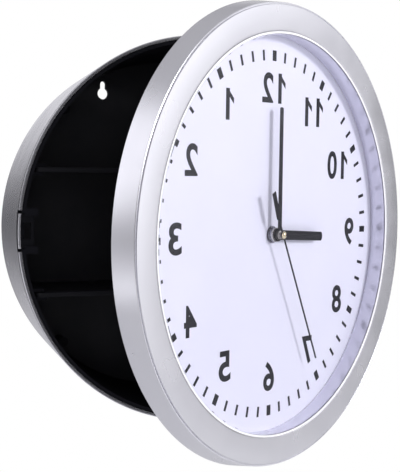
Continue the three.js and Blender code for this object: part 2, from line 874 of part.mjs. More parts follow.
// Planes of the movement, from the front to the back
const washerFrontY = doorBackY - doorBackRecess + seat;
const movementFrontY = washerFrontY + washerThickness + seat;
const movementBackY = movementFrontY + movementDepth;
const worksFrontY = movementFrontY + movementWall;
const halfMovement = movementSize / 2;
const wallTopZ = -hourWheelRadius - wheelMargin;
const bayTopZ = wallTopZ - movementWall;
const bayLowZ = bayTopZ - 2 * (batteryRadius + bayMargin);
const movementLowZ = bayLowZ - movementWall;
const movementTopZ = movementLowZ + movementSize;
const worksTopZ = movementTopZ - movementWall;

// Black tray of the movement: works above, battery bay below, both open at the back
function movementCase() {
  const outline = roundedSquare(movementSize, movementRound, (movementLowZ + movementTopZ) / 2);
  const block = solid(slab(outline, movementBackY, movementDepth));
  const inside = halfMovement - movementWall;
  const works = box([-inside, inside], [worksFrontY, movementBackY + overrun], [wallTopZ, worksTopZ]);
  const bay = box([-inside, inside], [worksFrontY, movementBackY + overrun], [bayLowZ, bayTopZ]);
  const neckHole = rod(neckRadius + slip, movementFrontY - overrun, worksFrontY + overrun);
  return skin(cut(block, [works, bay, neckHole]));
}

const knobX = setWheelRadius + minuteWheelRadius + slip;

// Lid over the works
function movementCover() {
  const inside = halfMovement - movementWall - slip;
  const low = wallTopZ + slip;
  const high = worksTopZ - slip;
  const outline = polygon([[-inside, low], [inside, low], [inside, high], [-inside, high]]);
  outline.holes.push(circle(knobShaft + turning, knobX, 0));
  return slab(outline, movementBackY, movementLidThickness);
}

function rubberWasher() {
  return pipe(washerRadius, dialHoleRadius, washerFrontY, washerFrontY + washerThickness, 2 * rodFacets);
}

// Threaded neck that carries the movement through the dial
function neck() {
  const frontY = dialY - neckFront;
  const flangeY = worksFrontY + seat;
  const bore = hourPipeOuter + turning;
  return ring([
    [bore, frontY],
    [neckRadius, frontY],
    [neckRadius, flangeY],
    [neckFlange, flangeY],
    [neckFlange, flangeY + neckFlangeThickness],
    [bore, flangeY + neckFlangeThickness],
  ], 2 * rodFacets);
}

function fixingNut() {
  const outline = new THREE.Shape();
  const corners = Array.from({ length: nutSides }, (_, index) => {
    const angle = (2 * Math.PI * index) / nutSides;
    return [nutRadius * Math.cos(angle), nutRadius * Math.sin(angle)];
  });
  outline.setFromPoints(corners.map(([x, z]) => new THREE.Vector2(x, z)));
  outline.holes.push(circle(neckRadius + turning));
  return slab(outline, dialY - seat, nutThickness);
}

const batteryZ = bayLowZ + bayMargin + batteryRadius;
const batteryY = worksFrontY + bayMargin + batteryRadius;

function battery() {
  const low = -(batteryLength + batteryNubLength) / 2;
  const high = low + batteryLength;
  return skin(join([
    bar(batteryRadius, low, high, batteryY, batteryZ, 2 * rodFacets),
    bar(batteryNubRadius, high - overrun, high + batteryNubLength, batteryY, batteryZ),
  ]));
}

// Spring plate at one end of the battery, side -1 or 1
function batteryContact(side) {
  const outer = halfMovement - movementWall - seat;
  const ends = [side * outer, side * (outer - contactThickness)].sort((low, high) => low - high);
  const deep = [batteryY - contactWidth / 2, batteryY + contactWidth / 2];
  return box(ends, deep, [batteryZ - contactWidth / 2, batteryZ + contactWidth / 2]);
}

const coilZ = worksTopZ - coilMargin - coilRadius;

// Coil and circuit board that drive the second arbor
function driveCoil() {
  const y = worksFrontY + seat + coilRadius;
  return skin(join([
    bar(coilRadius - coilFlange, coilX - coilLength / 2, coilX + coilLength / 2, y, coilZ),
    bar(coilRadius, coilX - coilLength / 2, coilX - coilLength / 2 + coilFlange, y, coilZ),
    bar(coilRadius, coilX + coilLength / 2 - coilFlange, coilX + coilLength / 2, y, coilZ),
  ]));
}

function circuitBoard() {
  const topZ = coilZ - coilRadius - boardGap;
  return box(
    [-halfMovement + movementWall + bayMargin, -hourWheelRadius - slip],
    [worksFrontY + seat, worksFrontY + seat + boardThickness],
    [topZ - boardHeight, topZ],
  );
}

// Wheels behind the neck, one plane each
const hourWheelY = worksFrontY + seat + neckFlangeThickness + seat;
const minuteWheelY = hourWheelY + wheelPitch;
const secondWheelY = minuteWheelY + wheelPitch;

function arborWithWheel(arborRadius, boreRadius, frontY, wheelRadius, wheelY) {
  const wheelBackY = wheelY + wheelThickness;
  const section = [
    [boreRadius, frontY],
    [arborRadius, frontY],
    [arborRadius, wheelY],
    [wheelRadius, wheelY],
    [wheelRadius, wheelBackY],
    [boreRadius, wheelBackY],
  ];
  return boreRadius > 0 ? ring(section, 2 * rodFacets) : disc(section, 2 * rodFacets);
}

function hourPipe() {
  const frontY = dialY - hourHandFront - turning;
  return arborWithWheel(hourPipeOuter, hourPipeInner, frontY, hourWheelRadius, hourWheelY);
}

function minutePipe() {
  const frontY = dialY - minuteHandFront - turning;
  return arborWithWheel(minutePipeOuter, minutePipeInner, frontY, minuteWheelRadius, minuteWheelY);
}

function secondShaft() {
  const frontY = dialY - secondHandFront;
  return arborWithWheel(secondArbor, 0, frontY, secondWheelRadius, secondWheelY);
}

// A hand's flat outline points up the dial and is then turned to its place.
function hand(outline, holeRadius, front, thickness, angle) {
  outline.holes.push(circle(holeRadius));
  return slab(outline, dialY - front + thickness, thickness).rotateY(-angle);
}

function pointer(eye, width, length) {
  const half = width / 2;
  const meet = Math.asin(half / eye);
  const outline = new THREE.Shape();
  outline.absarc(0, 0, eye, Math.PI / 2 + meet, Math.PI / 2 - meet + 2 * Math.PI, false);
  outline.lineTo(half, length - half / 2);
  outline.quadraticCurveTo(half, length, half / 2, length);
  outline.lineTo(-half / 2, length);
  outline.quadraticCurveTo(-half, length, -half, length - half / 2);
  return outline;
}

function hourHand() {
  const blade = hand(pointer(hourHandEye, hourHandWidth, hourHandLength), hourPipeOuter + turning,
    hourHandFront, handThickness, 0);
  const rib = box(
    [-hourHandRibWidth / 2, hourHandRibWidth / 2],
    [dialY - hourHandFront - hourHandRibRise, dialY - hourHandFront + handThickness / 2],
    [hourHandEye, hourHandLength - hourHandWidth / 2],
  );
  return skin(join([blade, rib])).rotateY(-hourHandAngle);
}

function minuteHand() {
  return hand(pointer(minuteHandEye, minuteHandWidth, minuteHandLength), minutePipeOuter + turning,
    minuteHandFront, handThickness, minuteHandAngle);
}

function secondHand() {
  const half = secondHandWidth / 2;
  const paddle = secondPaddleWidth / 2;
  const neckEnd = secondTailLength - secondPaddleLength;
  const meet = Math.asin(half / capRadius);
  const outline = new THREE.Shape();
  outline.absarc(0, 0, capRadius, Math.PI / 2 + meet, 1.5 * Math.PI - meet, false);
  outline.lineTo(-half, -neckEnd);
  outline.lineTo(-paddle, -neckEnd - paddle);
  outline.lineTo(-paddle, -secondTailLength);
  outline.lineTo(paddle, -secondTailLength);
  outline.lineTo(paddle, -neckEnd - paddle);
  outline.lineTo(half, -neckEnd);
  outline.absarc(0, 0, capRadius, -Math.PI / 2 + meet, Math.PI / 2 - meet, false);
  outline.lineTo(half / 2, secondHandLength);
  outline.lineTo(-half / 2, secondHandLength);
  return hand(outline, secondArbor + turning, secondHandFront, secondHandThickness, secondHandAngle);
}

function handCap() {
  const backY = dialY - secondHandFront - capGap;
  return disc([
    [0, backY],
    [capRadius, backY],
    [capRadius, backY - capThickness / 2],
    [capRadius - capThickness / 2, backY - capThickness],
    [0, backY - capThickness],
  ], rodFacets);
}

// Knob at the back of the movement that sets the hands
function setKnob() {
  const knobFrontY = movementBackY + seat;
  const knobBackY = knobFrontY + knobThickness;
  const shaft = rod(knobShaft, minuteWheelY, knobFrontY + knobThickness / 2, knobX, 0);
  const pinion = rod(setPinionRadius, hourWheelY, minuteWheelY + wheelThickness / 2, knobX, 0);
  const wheel = rod(setWheelRadius, minuteWheelY, minuteWheelY + wheelThickness, knobX, 0, 2 * rodFacets);
  const grip = rod(knobRadius, knobFrontY, knobBackY, knobX, 0, 2 * rodFacets);
  const flutes = roundAxis(knobFlutes, 0, knobRadius, (x, z) =>
    rod(knobFluteRadius, knobFrontY - overrun, knobBackY + overrun, knobX + x, z, rodFacets / 2));
  return skin(cut(join([grip, wheel, shaft, pinion]), flutes));
}

const safe = new THREE.Group();
addPiece(safe, "case_shell", caseShell(), silverPaint);
addPiece(safe, "case_liner", caseLiner(), blackPlastic);
addPiece(safe, "back_plate", backPlate(), blackPlastic);
backScrews().forEach((piece, index) => addPiece(safe, `back_screw_${index + 1}`, piece, steel));
const [lowerShelf, upperShelf] = shelfHeights();
addPiece(safe, "shelf_upper", shelf(upperShelf), blackPlastic);
addPiece(safe, "shelf_lower", shelf(lowerShelf), blackPlastic);
addPiece(safe, "catch_plate", catchPlate(), blackPlastic);
addPiece(safe, "catch_button", catchButton(), silverPaint);
const [lowerHinge, upperHinge] = hingeHeights;
addPiece(safe, "hinge_pin_upper", hingePin(upperHinge), steel);
addPiece(safe, "hinge_pin_lower", hingePin(lowerHinge), steel);

// The door stands open on its hinge; its pieces are drawn where they lie when it is shut.
const doorSwing = new THREE.Group();
doorSwing.position.set(hingeX, hingeY, 0);
doorSwing.rotation.z = openAngle;
const door = new THREE.Group();
door.position.set(-hingeX, -hingeY, 0);
doorSwing.add(door);
safe.add(doorSwing);

addPiece(door, "bezel_ring", bezelRing(), silverPaint);
addPiece(door, "crystal", crystal(), clearPlastic);
addPiece(door, "dial_plate", dialPlate(), whitePlastic);
addPiece(door, "door_back", doorBack(), blackPlastic);
doorScrews().forEach((piece, index) => addPiece(door, `door_screw_${index + 1}`, piece, steel));
addPiece(door, "movement_case", movementCase(), blackPlastic);
addPiece(door, "movement_cover", movementCover(), blackPlastic);
addPiece(door, "movement_washer", rubberWasher(), rubberBlack);
addPiece(door, "movement_neck", neck(), brass);
addPiece(door, "fixing_nut", fixingNut(), handPaint);
addPiece(door, "battery", battery(), batteryWrap);
addPiece(door, "battery_contact_minus", batteryContact(-1), steel);
addPiece(door, "battery_contact_plus", batteryContact(1), steel);
addPiece(door, "drive_coil", driveCoil(), copper);
addPiece(door, "circuit_board", circuitBoard(), boardGreen);
addPiece(door, "set_knob", setKnob(), blackPlastic);
addPiece(door, "hour_pipe", hourPipe(), brass);
addPiece(door, "hour_hand", hourHand(), handPaint);
addPiece(door, "minute_pipe", minutePipe(), brass);
addPiece(door, "minute_hand", minuteHand(), handPaint);
addPiece(door, "second_arbor", secondShaft(), steel);
addPiece(door, "second_hand", secondHand(), handPaint);
addPiece(door, "hand_cap", handCap(), brass);

export default safe;
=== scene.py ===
import json
import math

import bpy
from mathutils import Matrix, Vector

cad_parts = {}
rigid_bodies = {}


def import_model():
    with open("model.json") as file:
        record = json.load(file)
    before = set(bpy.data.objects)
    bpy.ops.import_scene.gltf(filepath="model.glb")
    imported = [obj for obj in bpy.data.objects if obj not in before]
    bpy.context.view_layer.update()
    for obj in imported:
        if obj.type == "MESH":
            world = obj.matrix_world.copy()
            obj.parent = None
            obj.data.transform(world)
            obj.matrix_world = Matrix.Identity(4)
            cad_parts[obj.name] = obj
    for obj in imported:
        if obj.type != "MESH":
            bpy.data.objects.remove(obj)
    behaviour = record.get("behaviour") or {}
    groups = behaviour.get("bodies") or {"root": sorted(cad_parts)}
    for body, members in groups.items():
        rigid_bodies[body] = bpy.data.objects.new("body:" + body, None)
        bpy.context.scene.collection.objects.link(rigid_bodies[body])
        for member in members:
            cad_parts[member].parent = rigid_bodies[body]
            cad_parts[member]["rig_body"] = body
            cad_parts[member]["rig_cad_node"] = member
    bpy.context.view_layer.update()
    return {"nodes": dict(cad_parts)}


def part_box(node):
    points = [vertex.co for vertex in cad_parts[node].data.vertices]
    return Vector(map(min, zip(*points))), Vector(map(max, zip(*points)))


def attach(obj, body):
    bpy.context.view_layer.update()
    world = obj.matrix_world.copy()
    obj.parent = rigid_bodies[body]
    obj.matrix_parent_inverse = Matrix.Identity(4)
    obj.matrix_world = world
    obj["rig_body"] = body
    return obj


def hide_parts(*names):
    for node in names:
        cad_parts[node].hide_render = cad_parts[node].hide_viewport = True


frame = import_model()
bpy.ops.object.select_all(action="DESELECT")
mm = 0.001


# Case shell
# The outer tub is one ABS moulding under a satin silver lacquer. It tapers to the wall, a fine
# groove runs round it behind the lip, and the lip is notched for the bar of the catch. The
# ears of the hinge are moulded on at the right.
case_depth = 63.5 * mm
rim_radius = 113.2 * mm
rim_rounding = 0.35 * mm
case_back_radius = 105.3 * mm
back_rounding = 1 * mm
wall_middle_y = -30 * mm
shell_wall = 1.9 * mm
groove_front = 2.3 * mm
groove_back = 3.7 * mm
groove_depth = 0.7 * mm
groove_draft = 0.1 * mm
lip_chamfer = 0.7 * mm
lip_chamfer_depth = 0.25 * mm
notch_depth = 4.6 * mm
notch_inner_x = -100 * mm
catch_length = 19.4 * mm
catch_end_gap = 1.8 * mm
hinge = (115 * mm, -64.5 * mm, 0)
hinge_heights = (-26 * mm, 26 * mm)
knuckle_radius = 2.4 * mm
knuckle_length = 8 * mm
pin_hole_radius = 1.25 * mm
pin_hole_reach = 10 * mm
ear_length = 4 * mm
ear_gap = 0.3 * mm
web_reach = 9 * mm
web_setback = 0.4 * mm
web_slope = 6.6 * mm
# Width of the rounded edges that a painted highlight lightens.
edge_highlight_width = 0.25 * mm
# How far a cutting solid stands out of what it cuts, and how close to a place a corner has
# to lie to be chosen.
overrun = 1 * mm
near = 0.05 * mm


def srgb(hex_text):
    """The linear colour that a shader takes for a hex colour as the eye sees it."""
    shares = [int(hex_text[at:at + 2], 16) / 255 for at in (1, 3, 5)]
    linear = [s / 12.92 if s <= 0.04045 else ((s + 0.055) / 1.055) ** 2.4 for s in shares]
    return (*linear, 1)


def add_node(tree, kind, inputs=(), **settings):
    """Adds a node, sets it, and fills its sockets with values or with links."""
    node = tree.nodes.new(kind)
    for name, value in settings.items():
        setattr(node, name, value)
    for socket, value in dict(inputs).items():
        if isinstance(value, bpy.types.NodeSocket):
            tree.links.new(value, node.inputs[socket])
        else:
            node.inputs[socket].default_value = value
    return node


def surface(
        name, colours, patch, roughness, grain, relief, metallic=0.0, painted_edge_highlight=None, shine=0.5):
    """A moulded, painted or rolled surface: two close colours in soft patches, a roughness that
    drifts between two values, a grain in relief and, if given, a painted highlight: a lighter
    colour on its rounded edges."""
    made = bpy.data.materials.new(name)
    made.use_nodes = True
    tree = made.node_tree
    shader = tree.nodes["Principled BSDF"]
    shader.inputs["Metallic"].default_value = metallic
    shader.inputs["Specular IOR Level"].default_value = shine
    place = add_node(tree, "ShaderNodeTexCoord").outputs["Object"]
    patches = add_node(
        tree, "ShaderNodeTexNoise", {"Vector": place, "Scale": 1 / patch, "Detail": 3.0})
    colour = add_node(tree, "ShaderNodeValToRGB", {"Fac": patches.outputs["Fac"]})
    colour.color_ramp.elements[0].position = 0.3
    colour.color_ramp.elements[0].color = srgb(colours[0])
    colour.color_ramp.elements[1].position = 0.7
    colour.color_ramp.elements[1].color = srgb(colours[1])
    top = colour.outputs["Color"]
    # Painted highlight: the rounded edges turn towards the lighter colour.
    if painted_edge_highlight:
        rounded = add_node(tree, "ShaderNodeBevel", {"Radius": edge_highlight_width}, samples=4)
        flat = add_node(tree, "ShaderNodeNewGeometry")
        turned_away = add_node(
            tree, "ShaderNodeVectorMath",
            {0: rounded.outputs["Normal"], 1: flat.outputs["Normal"]}, operation="DOT_PRODUCT")
        edge_highlight_mask = add_node(
            tree, "ShaderNodeMapRange",
            {"Value": turned_away.outputs["Value"], "From Min": 0.97, "From Max": 0.75,
             "To Max": 0.6})
        mixed = add_node(tree, "ShaderNodeMix", {0: edge_highlight_mask.outputs["Result"]}, data_type="RGBA")
        tree.links.new(top, mixed.inputs[6])
        mixed.inputs[7].default_value = srgb(painted_edge_highlight)
        top = mixed.outputs[2]
    tree.links.new(top, shader.inputs["Base Color"])
    drift = add_node(
        tree, "ShaderNodeTexNoise", {"Vector": place, "Scale": 3 / patch, "Detail": 2.0})
    gloss = add_node(
        tree, "ShaderNodeMapRange",
        {"Value": drift.outputs["Fac"], "From Min": 0.3, "From Max": 0.7,
         "To Min": roughness[0], "To Max": roughness[1]})
    tree.links.new(gloss.outputs["Result"], shader.inputs["Roughness"])
    grains = add_node(
        tree, "ShaderNodeTexNoise", {"Vector": place, "Scale": 1 / grain, "Detail": 2.0})
    bump = add_node(
        tree, "ShaderNodeBump",
        {"Height": grains.outputs["Fac"], "Distance": relief, "Strength": 0.6})
    tree.links.new(bump.outputs["Normal"], shader.inputs["Normal"])
    return made


def pick(piece):
    """Makes a piece the only selected one."""
    bpy.ops.object.select_all(action="DESELECT")
    piece.select_set(True)
    bpy.context.view_layer.objects.active = piece


def choose(piece, wanted, mode="VERT"):
    """Selects in edit mode the corners of a piece that a test wants, or the edges or faces
    between them, and leaves edit mode on."""
    pick(piece)
    bpy.ops.object.mode_set(mode="EDIT")
    bpy.ops.mesh.select_mode(type="VERT")
    bpy.ops.mesh.select_all(action="DESELECT")
    bpy.ops.object.mode_set(mode="OBJECT")
    for corner in piece.data.vertices:
        corner.select = wanted(corner.co)
    bpy.ops.object.mode_set(mode="EDIT")
    bpy.ops.mesh.select_mode(type=mode)


def turn(name, stations, sides=192, solid=False):
    """Turns a ring round the clock's axis: a circle at the first (radius, depth) is extruded
    to each next one. The last is bridged to the first, or both ends are filled."""
    radius, depth = stations[0]
    bpy.ops.mesh.primitive_circle_add(
        vertices=sides, radius=radius, location=(0, depth, 0), rotation=(math.pi / 2, 0, 0))
    piece = bpy.context.object
    piece.name = name
    bpy.ops.object.transform_apply()
    bpy.ops.object.mode_set(mode="EDIT")
    bpy.ops.mesh.select_mode(type="EDGE")
    bpy.ops.mesh.select_all(action="SELECT")
    for (last_radius, last_depth), (radius, depth) in zip(stations, stations[1:]):
        bpy.ops.mesh.extrude_edges_move(
            TRANSFORM_OT_translate={"value": (0, depth - last_depth, 0)})
        share = radius / last_radius
        bpy.ops.transform.resize(value=(share, 1, share), center_override=(0, depth, 0))
    bpy.ops.mesh.select_all(action="DESELECT")
    bpy.ops.mesh.select_non_manifold(
        extend=False, use_wire=False, use_boundary=True, use_multi_face=False,
        use_non_contiguous=False, use_verts=False)
    if solid:
        bpy.ops.mesh.fill_holes(sides=0)
    else:
        bpy.ops.mesh.bridge_edge_loops()
    bpy.ops.mesh.select_all(action="SELECT")
    bpy.ops.mesh.normals_make_consistent(inside=False)
    bpy.ops.object.mode_set(mode="OBJECT")
    return piece


def block(name, low, high):
    """A cuboid between two corners."""
    middle = [(a + b) / 2 for a, b in zip(low, high)]
    size = [b - a for a, b in zip(low, high)]
    bpy.ops.mesh.primitive_cube_add(size=1, location=middle, scale=size)
    piece = bpy.context.object
    piece.name = name
    bpy.ops.object.transform_apply()
    return piece


def rod(name, radius, start, end, axis="Y"):
    """A round bar along an axis, between two points."""
    middle = [(a + b) / 2 for a, b in zip(start, end)]
    tilt = {"Y": (math.pi / 2, 0, 0), "Z": (0, 0, 0)}[axis]
    bpy.ops.mesh.primitive_cylinder_add(
        vertices=48, radius=radius, depth=math.dist(start, end), location=middle, rotation=tilt)
    piece = bpy.context.object
    piece.name = name
    bpy.ops.object.transform_apply()
    return piece


def combine(piece, tools, operation):
    """Welds tools onto a piece or cuts them out of it, and removes them."""
    for tool in tools:
        pick(piece)
        step = piece.modifiers.new("Combine", "BOOLEAN")
        step.operation = operation
        step.object = tool
        step.solver = "EXACT"
        bpy.ops.object.modifier_apply(modifier=step.name)
        bpy.data.objects.remove(tool)


def round_and_smooth(piece, width, angle=30):
    """Breaks the edges of a piece that are sharper than an angle in degrees, and shades it
    smooth between them, its flats flat."""
    pick(piece)
    if width:
        edge = piece.modifiers.new("Edges", "BEVEL")
        edge.width = width
        edge.segments = 2
        edge.limit_method = "ANGLE"
        edge.angle_limit = math.radians(angle)
        edge.use_clamp_overlap = True
        bpy.ops.object.modifier_apply(modifier=edge.name)
    bpy.ops.object.shade_smooth_by_angle(angle=math.radians(angle + 5))
    even = piece.modifiers.new("Even", "WEIGHTED_NORMAL")
    even.keep_sharp = True
    bpy.ops.object.modifier_apply(modifier=even.name)


def paint_part(piece, material, wanted):
    """Adds a material to a piece, on the faces whose corners a test all wants."""
    piece.data.materials.append(material)
    choose(piece, wanted, "FACE")
    piece.active_material_index = len(piece.data.materials) - 1
    bpy.ops.object.material_slot_assign()
    bpy.ops.object.mode_set(mode="OBJECT")


def hand_over(piece, material, body, slot, *nodes):
    """Gives a finished piece its material, unless it has its own, ties it to the body it moves
    with, and hides the CAD nodes that it stands for."""
    if material:
        piece.data.materials.clear()
        piece.data.materials.append(material)
    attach(piece, body)
    if nodes:
        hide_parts(*nodes)


def outer_radius(y):
    """Radius of the tapered case at a depth."""
    return case_back_radius + (rim_radius - case_back_radius) * -y / case_depth


rim_y = -case_depth
groove_ys = (rim_y + groove_front, rim_y + groove_back)
shell = turn("case_shell_skin", [
    (rim_radius - rim_rounding, rim_y),
    (rim_radius, rim_y + rim_rounding),
    (outer_radius(groove_ys[0]), groove_ys[0]),
    (outer_radius(groove_ys[0]) - groove_depth, groove_ys[0] + groove_draft),
    (outer_radius(groove_ys[1]) - groove_depth, groove_ys[1] - groove_draft),
    (outer_radius(groove_ys[1]), groove_ys[1]),
    (outer_radius(wall_middle_y), wall_middle_y),
    (outer_radius(-back_rounding), -back_rounding),
    (case_back_radius - 0.3 * back_rounding, -0.3 * back_rounding),
    (case_back_radius - back_rounding, 0),
    (case_back_radius - shell_wall, 0),
    (rim_radius - shell_wall, rim_y + lip_chamfer_depth),
    (rim_radius - shell_wall + lip_chamfer, rim_y),
], sides=256)
notch_half = catch_length / 2 + catch_end_gap
notch = block(
    "notch", (-rim_radius - 2 * overrun, rim_y - overrun, -notch_half),
    (notch_inner_x, rim_y + notch_depth, notch_half))
combine(shell, [notch], "DIFFERENCE")

# Each ear is a round knuckle on a sloping web. A cone inside the wall hollows the web first,
# so that the web ends in the middle of the wall.
hollow_ys = (rim_y - 4 * overrun, overrun)
ears = []
for middle in hinge_heights:
    for side in (-1, 1):
        ear_start = middle + side * (knuckle_length / 2 + ear_gap)
        low_z, high_z = sorted((ear_start, ear_start + side * ear_length))
        ears.append(rod("ear", knuckle_radius, (*hinge[:2], low_z), (*hinge[:2], high_z), "Z"))
        web = block(
            "web", (hinge[0] - web_reach, hinge[1] + web_setback, low_z),
            (hinge[0], hinge[1] + web_reach, high_z))
        choose(web, lambda at: at.x > hinge[0] - near and at.y > hinge[1] + web_reach - near)
        bpy.ops.transform.translate(value=(0, -web_slope, 0))
        bpy.ops.object.mode_set(mode="OBJECT")
        hollow = turn(
            "hollow", [(outer_radius(y) - shell_wall / 2, y) for y in hollow_ys], solid=True)
        combine(web, [hollow], "DIFFERENCE")
        ears.append(web)
combine(shell, ears, "UNION")
pin_holes = [
    rod("pin_hole", pin_hole_radius,
        (*hinge[:2], z - pin_hole_reach), (*hinge[:2], z + pin_hole_reach), "Z")
    for z in hinge_heights]
combine(shell, pin_holes, "DIFFERENCE")
round_and_smooth(shell, width=0.15 * mm)

# Lacquer with fine aluminium flake, sprayed on: broad soft highlights that fade slowly round a
# ring, and a painted highlight that makes its edges a little brighter. Its real grain of about
# 0.05 mm is too fine to show and is drawn at 0.35 mm.
silver = surface(
    "satin_silver_lacquer", ("#dadae0", "#e0e0e5"), patch=60 * mm, roughness=(0.22, 0.28),
    grain=0.35 * mm, relief=0.001 * mm, metallic=0.75, painted_edge_highlight="#ececef")

# Moulded in a spark-eroded tool: an even matt black that hardly mirrors, so that the inside of the
# case looks deep. Its rounded edges get a painted highlight, a slightly lighter black. The grain
# of the tool is 0.6 mm wide here, about twice the real one.
black = surface(
    "matt_black_abs", ("#1a1a1f", "#1f1f24"), patch=45 * mm, roughness=(0.7, 0.8),
    grain=0.6 * mm, relief=0.03 * mm, painted_edge_highlight="#25252b", shine=0.06)


def is_bare(at):
    """Whether a corner lies in the groove, black as painted shade, or in the notch, also black."""
    radius = math.hypot(at.x, at.z)
    in_shaded_groove = (
        groove_ys[0] - near / 5 < at.y < groove_ys[1] + near / 5
        and outer_radius(at.y) - groove_depth - 4 * near < radius < outer_radius(at.y) + near)
    in_notch = (
        at.x < notch_inner_x and at.y < rim_y + notch_depth + 2 * near
        and abs(at.z) < notch_half + 2 * near)
    return in_shaded_groove or in_notch


shell.data.materials.append(silver)
# The groove is painted black as painted shade, and the notch takes the same black.
paint_part(shell, black, is_bare)
hand_over(shell, None, "case", "silver_paint", "case_shell")


# Case liner
# The black inside of the case is a second ABS moulding, dropped into the shell. Its ribs
# hold the shelves and the catch. It keeps the matt grain of its mould.
weld_distance = 0.002 * mm
flat_angle = math.radians(0.5)
moulded_edge_degrees = 25


def moulding(node, material, body, slot, edge=0.0):
    """A finished copy of a CAD node, in its place: facets welded, edges broken, shaded
    smooth."""
    pick(frame["nodes"][node])
    bpy.ops.object.duplicate()
    piece = bpy.context.object
    piece.name = node + "_finished"
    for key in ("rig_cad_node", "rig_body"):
        if key in piece:
            del piece[key]
    bpy.ops.object.parent_clear(type="CLEAR_KEEP_TRANSFORM")
    bpy.ops.object.mode_set(mode="EDIT")
    bpy.ops.mesh.select_all(action="SELECT")
    bpy.ops.mesh.remove_doubles(threshold=weld_distance)
    bpy.ops.mesh.dissolve_limited(angle_limit=flat_angle)
    bpy.ops.object.mode_set(mode="OBJECT")
    round_and_smooth(piece, edge, angle=moulded_edge_degrees)
    hand_over(piece, material, body, slot, node)


moulding("case_liner", black, "case", "black_plastic")


# Back plate
# A flat ABS plate closes the case at the wall. Two keyholes hang it on screws, and four
# screws hold it to the bosses of the liner.

# A copy of the black ABS with a coarser grain than the liner, made a slightly greyer black as
# painted light: the plate lies deep in the shade of the case, and the lighter colour lifts it. Its
# rounded edges get a painted highlight.
# Its grain is 0.9 mm wide here, about twice the real one, which would be too fine to show.
back_black_painted_light = surface(
    "coarse_black_abs_painted_light", ("#222226", "#2a2a2f"), patch=50 * mm, roughness=(0.65, 0.8),
    grain=0.9 * mm, relief=0.05 * mm, painted_edge_highlight="#303036", shine=0.3)
moulding("back_plate", back_black_painted_light, "case", "black_plastic", edge=0.3 * mm)


# Shelves
# Two black boards with rounded front corners slide into the slots of the liner. They are
# moulded like it, in a smoother tool.

# A smoother moulded black: the front edges catch a faint line of light, which a painted highlight,
# a lighter black on the rounded edges, adds to. Its grain is drawn at 0.8 mm, since the real one
# of about 0.2 mm is too fine to show.
shelf_black = surface(
    "black_shelf_board", ("#19191d", "#1f1f24"), patch=30 * mm, roughness=(0.5, 0.6),
    grain=0.8 * mm, relief=0.02 * mm, painted_edge_highlight="#26262b", shine=0.15)
moulding("shelf_upper", shelf_black, "case", "black_plastic", edge=0.4 * mm)
moulding("shelf_lower", shelf_black, "case", "black_plastic", edge=0.4 * mm)


# Catch
# The bar in the notch of the lip is lacquered like the shell and follows its round. It is
# pressed inwards with the black plate that holds the hook of the door.
bar_depth = 2 * mm
bar_cuts = 7
bar_low, bar_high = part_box("catch_button")
catch_bar = block("catch_button_bar", bar_low, (bar_high.x, rim_y + bar_depth, bar_high.z))
choose(catch_bar, lambda at: True)
bpy.ops.mesh.subdivide(number_cuts=bar_cuts)
bpy.ops.object.mode_set(mode="OBJECT")
for corner in catch_bar.data.vertices:
    radius = outer_radius(corner.co.y)
    corner.co.x += radius - math.sqrt(radius**2 - corner.co.z**2)
round_and_smooth(catch_bar, width=0.25 * mm)
hand_over(catch_bar, silver, "catch", "silver_paint", "catch_button")

# Smooth moulded acetal, a slippery plastic for parts that slide: a plain deep black, painted a
# little darker than the liner as painted shade, since the lamp lights this plate more than the
# inside round it. Its rounded edges get a painted highlight. Its fine grain is drawn at 0.6 mm,
# several times as coarse as it is.
catch_black_painted_shade = surface(
    "moulded_black_acetal_painted_shade", ("#17171b", "#1b1b1f"), patch=30 * mm, roughness=(0.5, 0.6),
    grain=0.6 * mm, relief=0.01 * mm, painted_edge_highlight="#202025", shine=0.06)
moulding("catch_plate", catch_black_painted_shade, "catch", "black_plastic", edge=0.25 * mm)


# Screws and hinge pins
# Pan head screws of zinc-coated steel with a cross recess, rolled threads and a blunt tip. A
# screw of each length is turned once and copied to its holes. The pins are plain steel wire.
screw_head = 2.6 * mm
screw_head_thickness = 1.5 * mm
head_crown_inset = 1 * mm
head_shoulder_inset = 0.25 * mm
head_shoulder_drop = 0.3 * mm
head_crown_drop = 0.8 * mm
screw_shank = 1.3 * mm
neck_share = 0.8
thread_root_share = 0.75
tip_share = 0.3
tip_length = 1.5 * mm
thread_pitch = 1.1 * mm
recess_half_width = 0.35 * mm
recess_half_length = 1.5 * mm
recess_depth = 0.9 * mm
back_screw_length = 9 * mm

# Rolled steel with a thin bright coat of zinc: pale grey, half gloss, a little mottled. The
# crystals of the coat are drawn at 0.25 mm, several times as coarse as they are.
steel = surface(
    "zinc_coated_steel", ("#a3a5aa", "#b4b5b8"), patch=6 * mm, roughness=(0.25, 0.4),
    grain=0.25 * mm, relief=0.01 * mm, metallic=1.0)


def turn_screw(length):
    """A screw on the clock's axis, driven towards the front, its head bearing at the origin."""
    stations = [
        (screw_head - head_crown_inset, screw_head_thickness),
        (screw_head - head_shoulder_inset, screw_head_thickness - head_shoulder_drop),
        (screw_head, screw_head_thickness - head_crown_drop),
        (screw_head, 0),
        (screw_shank * neck_share, 0)]
    threads = int((length - tip_length) / thread_pitch)
    for index in range(threads):
        stations += [
            (screw_shank, -(index + 0.5) * thread_pitch),
            (screw_shank * thread_root_share, -(index + 1) * thread_pitch)]
    stations.append((screw_shank * tip_share, -length))
    piece = turn("screw", stations, sides=32, solid=True)
    slots = [
        block("slot", (-half_x, screw_head_thickness - recess_depth, -half_z),
              (half_x, screw_head_thickness + overrun, half_z))
        for half_x, half_z in (
            (recess_half_length, recess_half_width), (recess_half_width, recess_half_length))]
    combine(piece, slots, "DIFFERENCE")
    round_and_smooth(piece, width=0.06 * mm)
    return piece


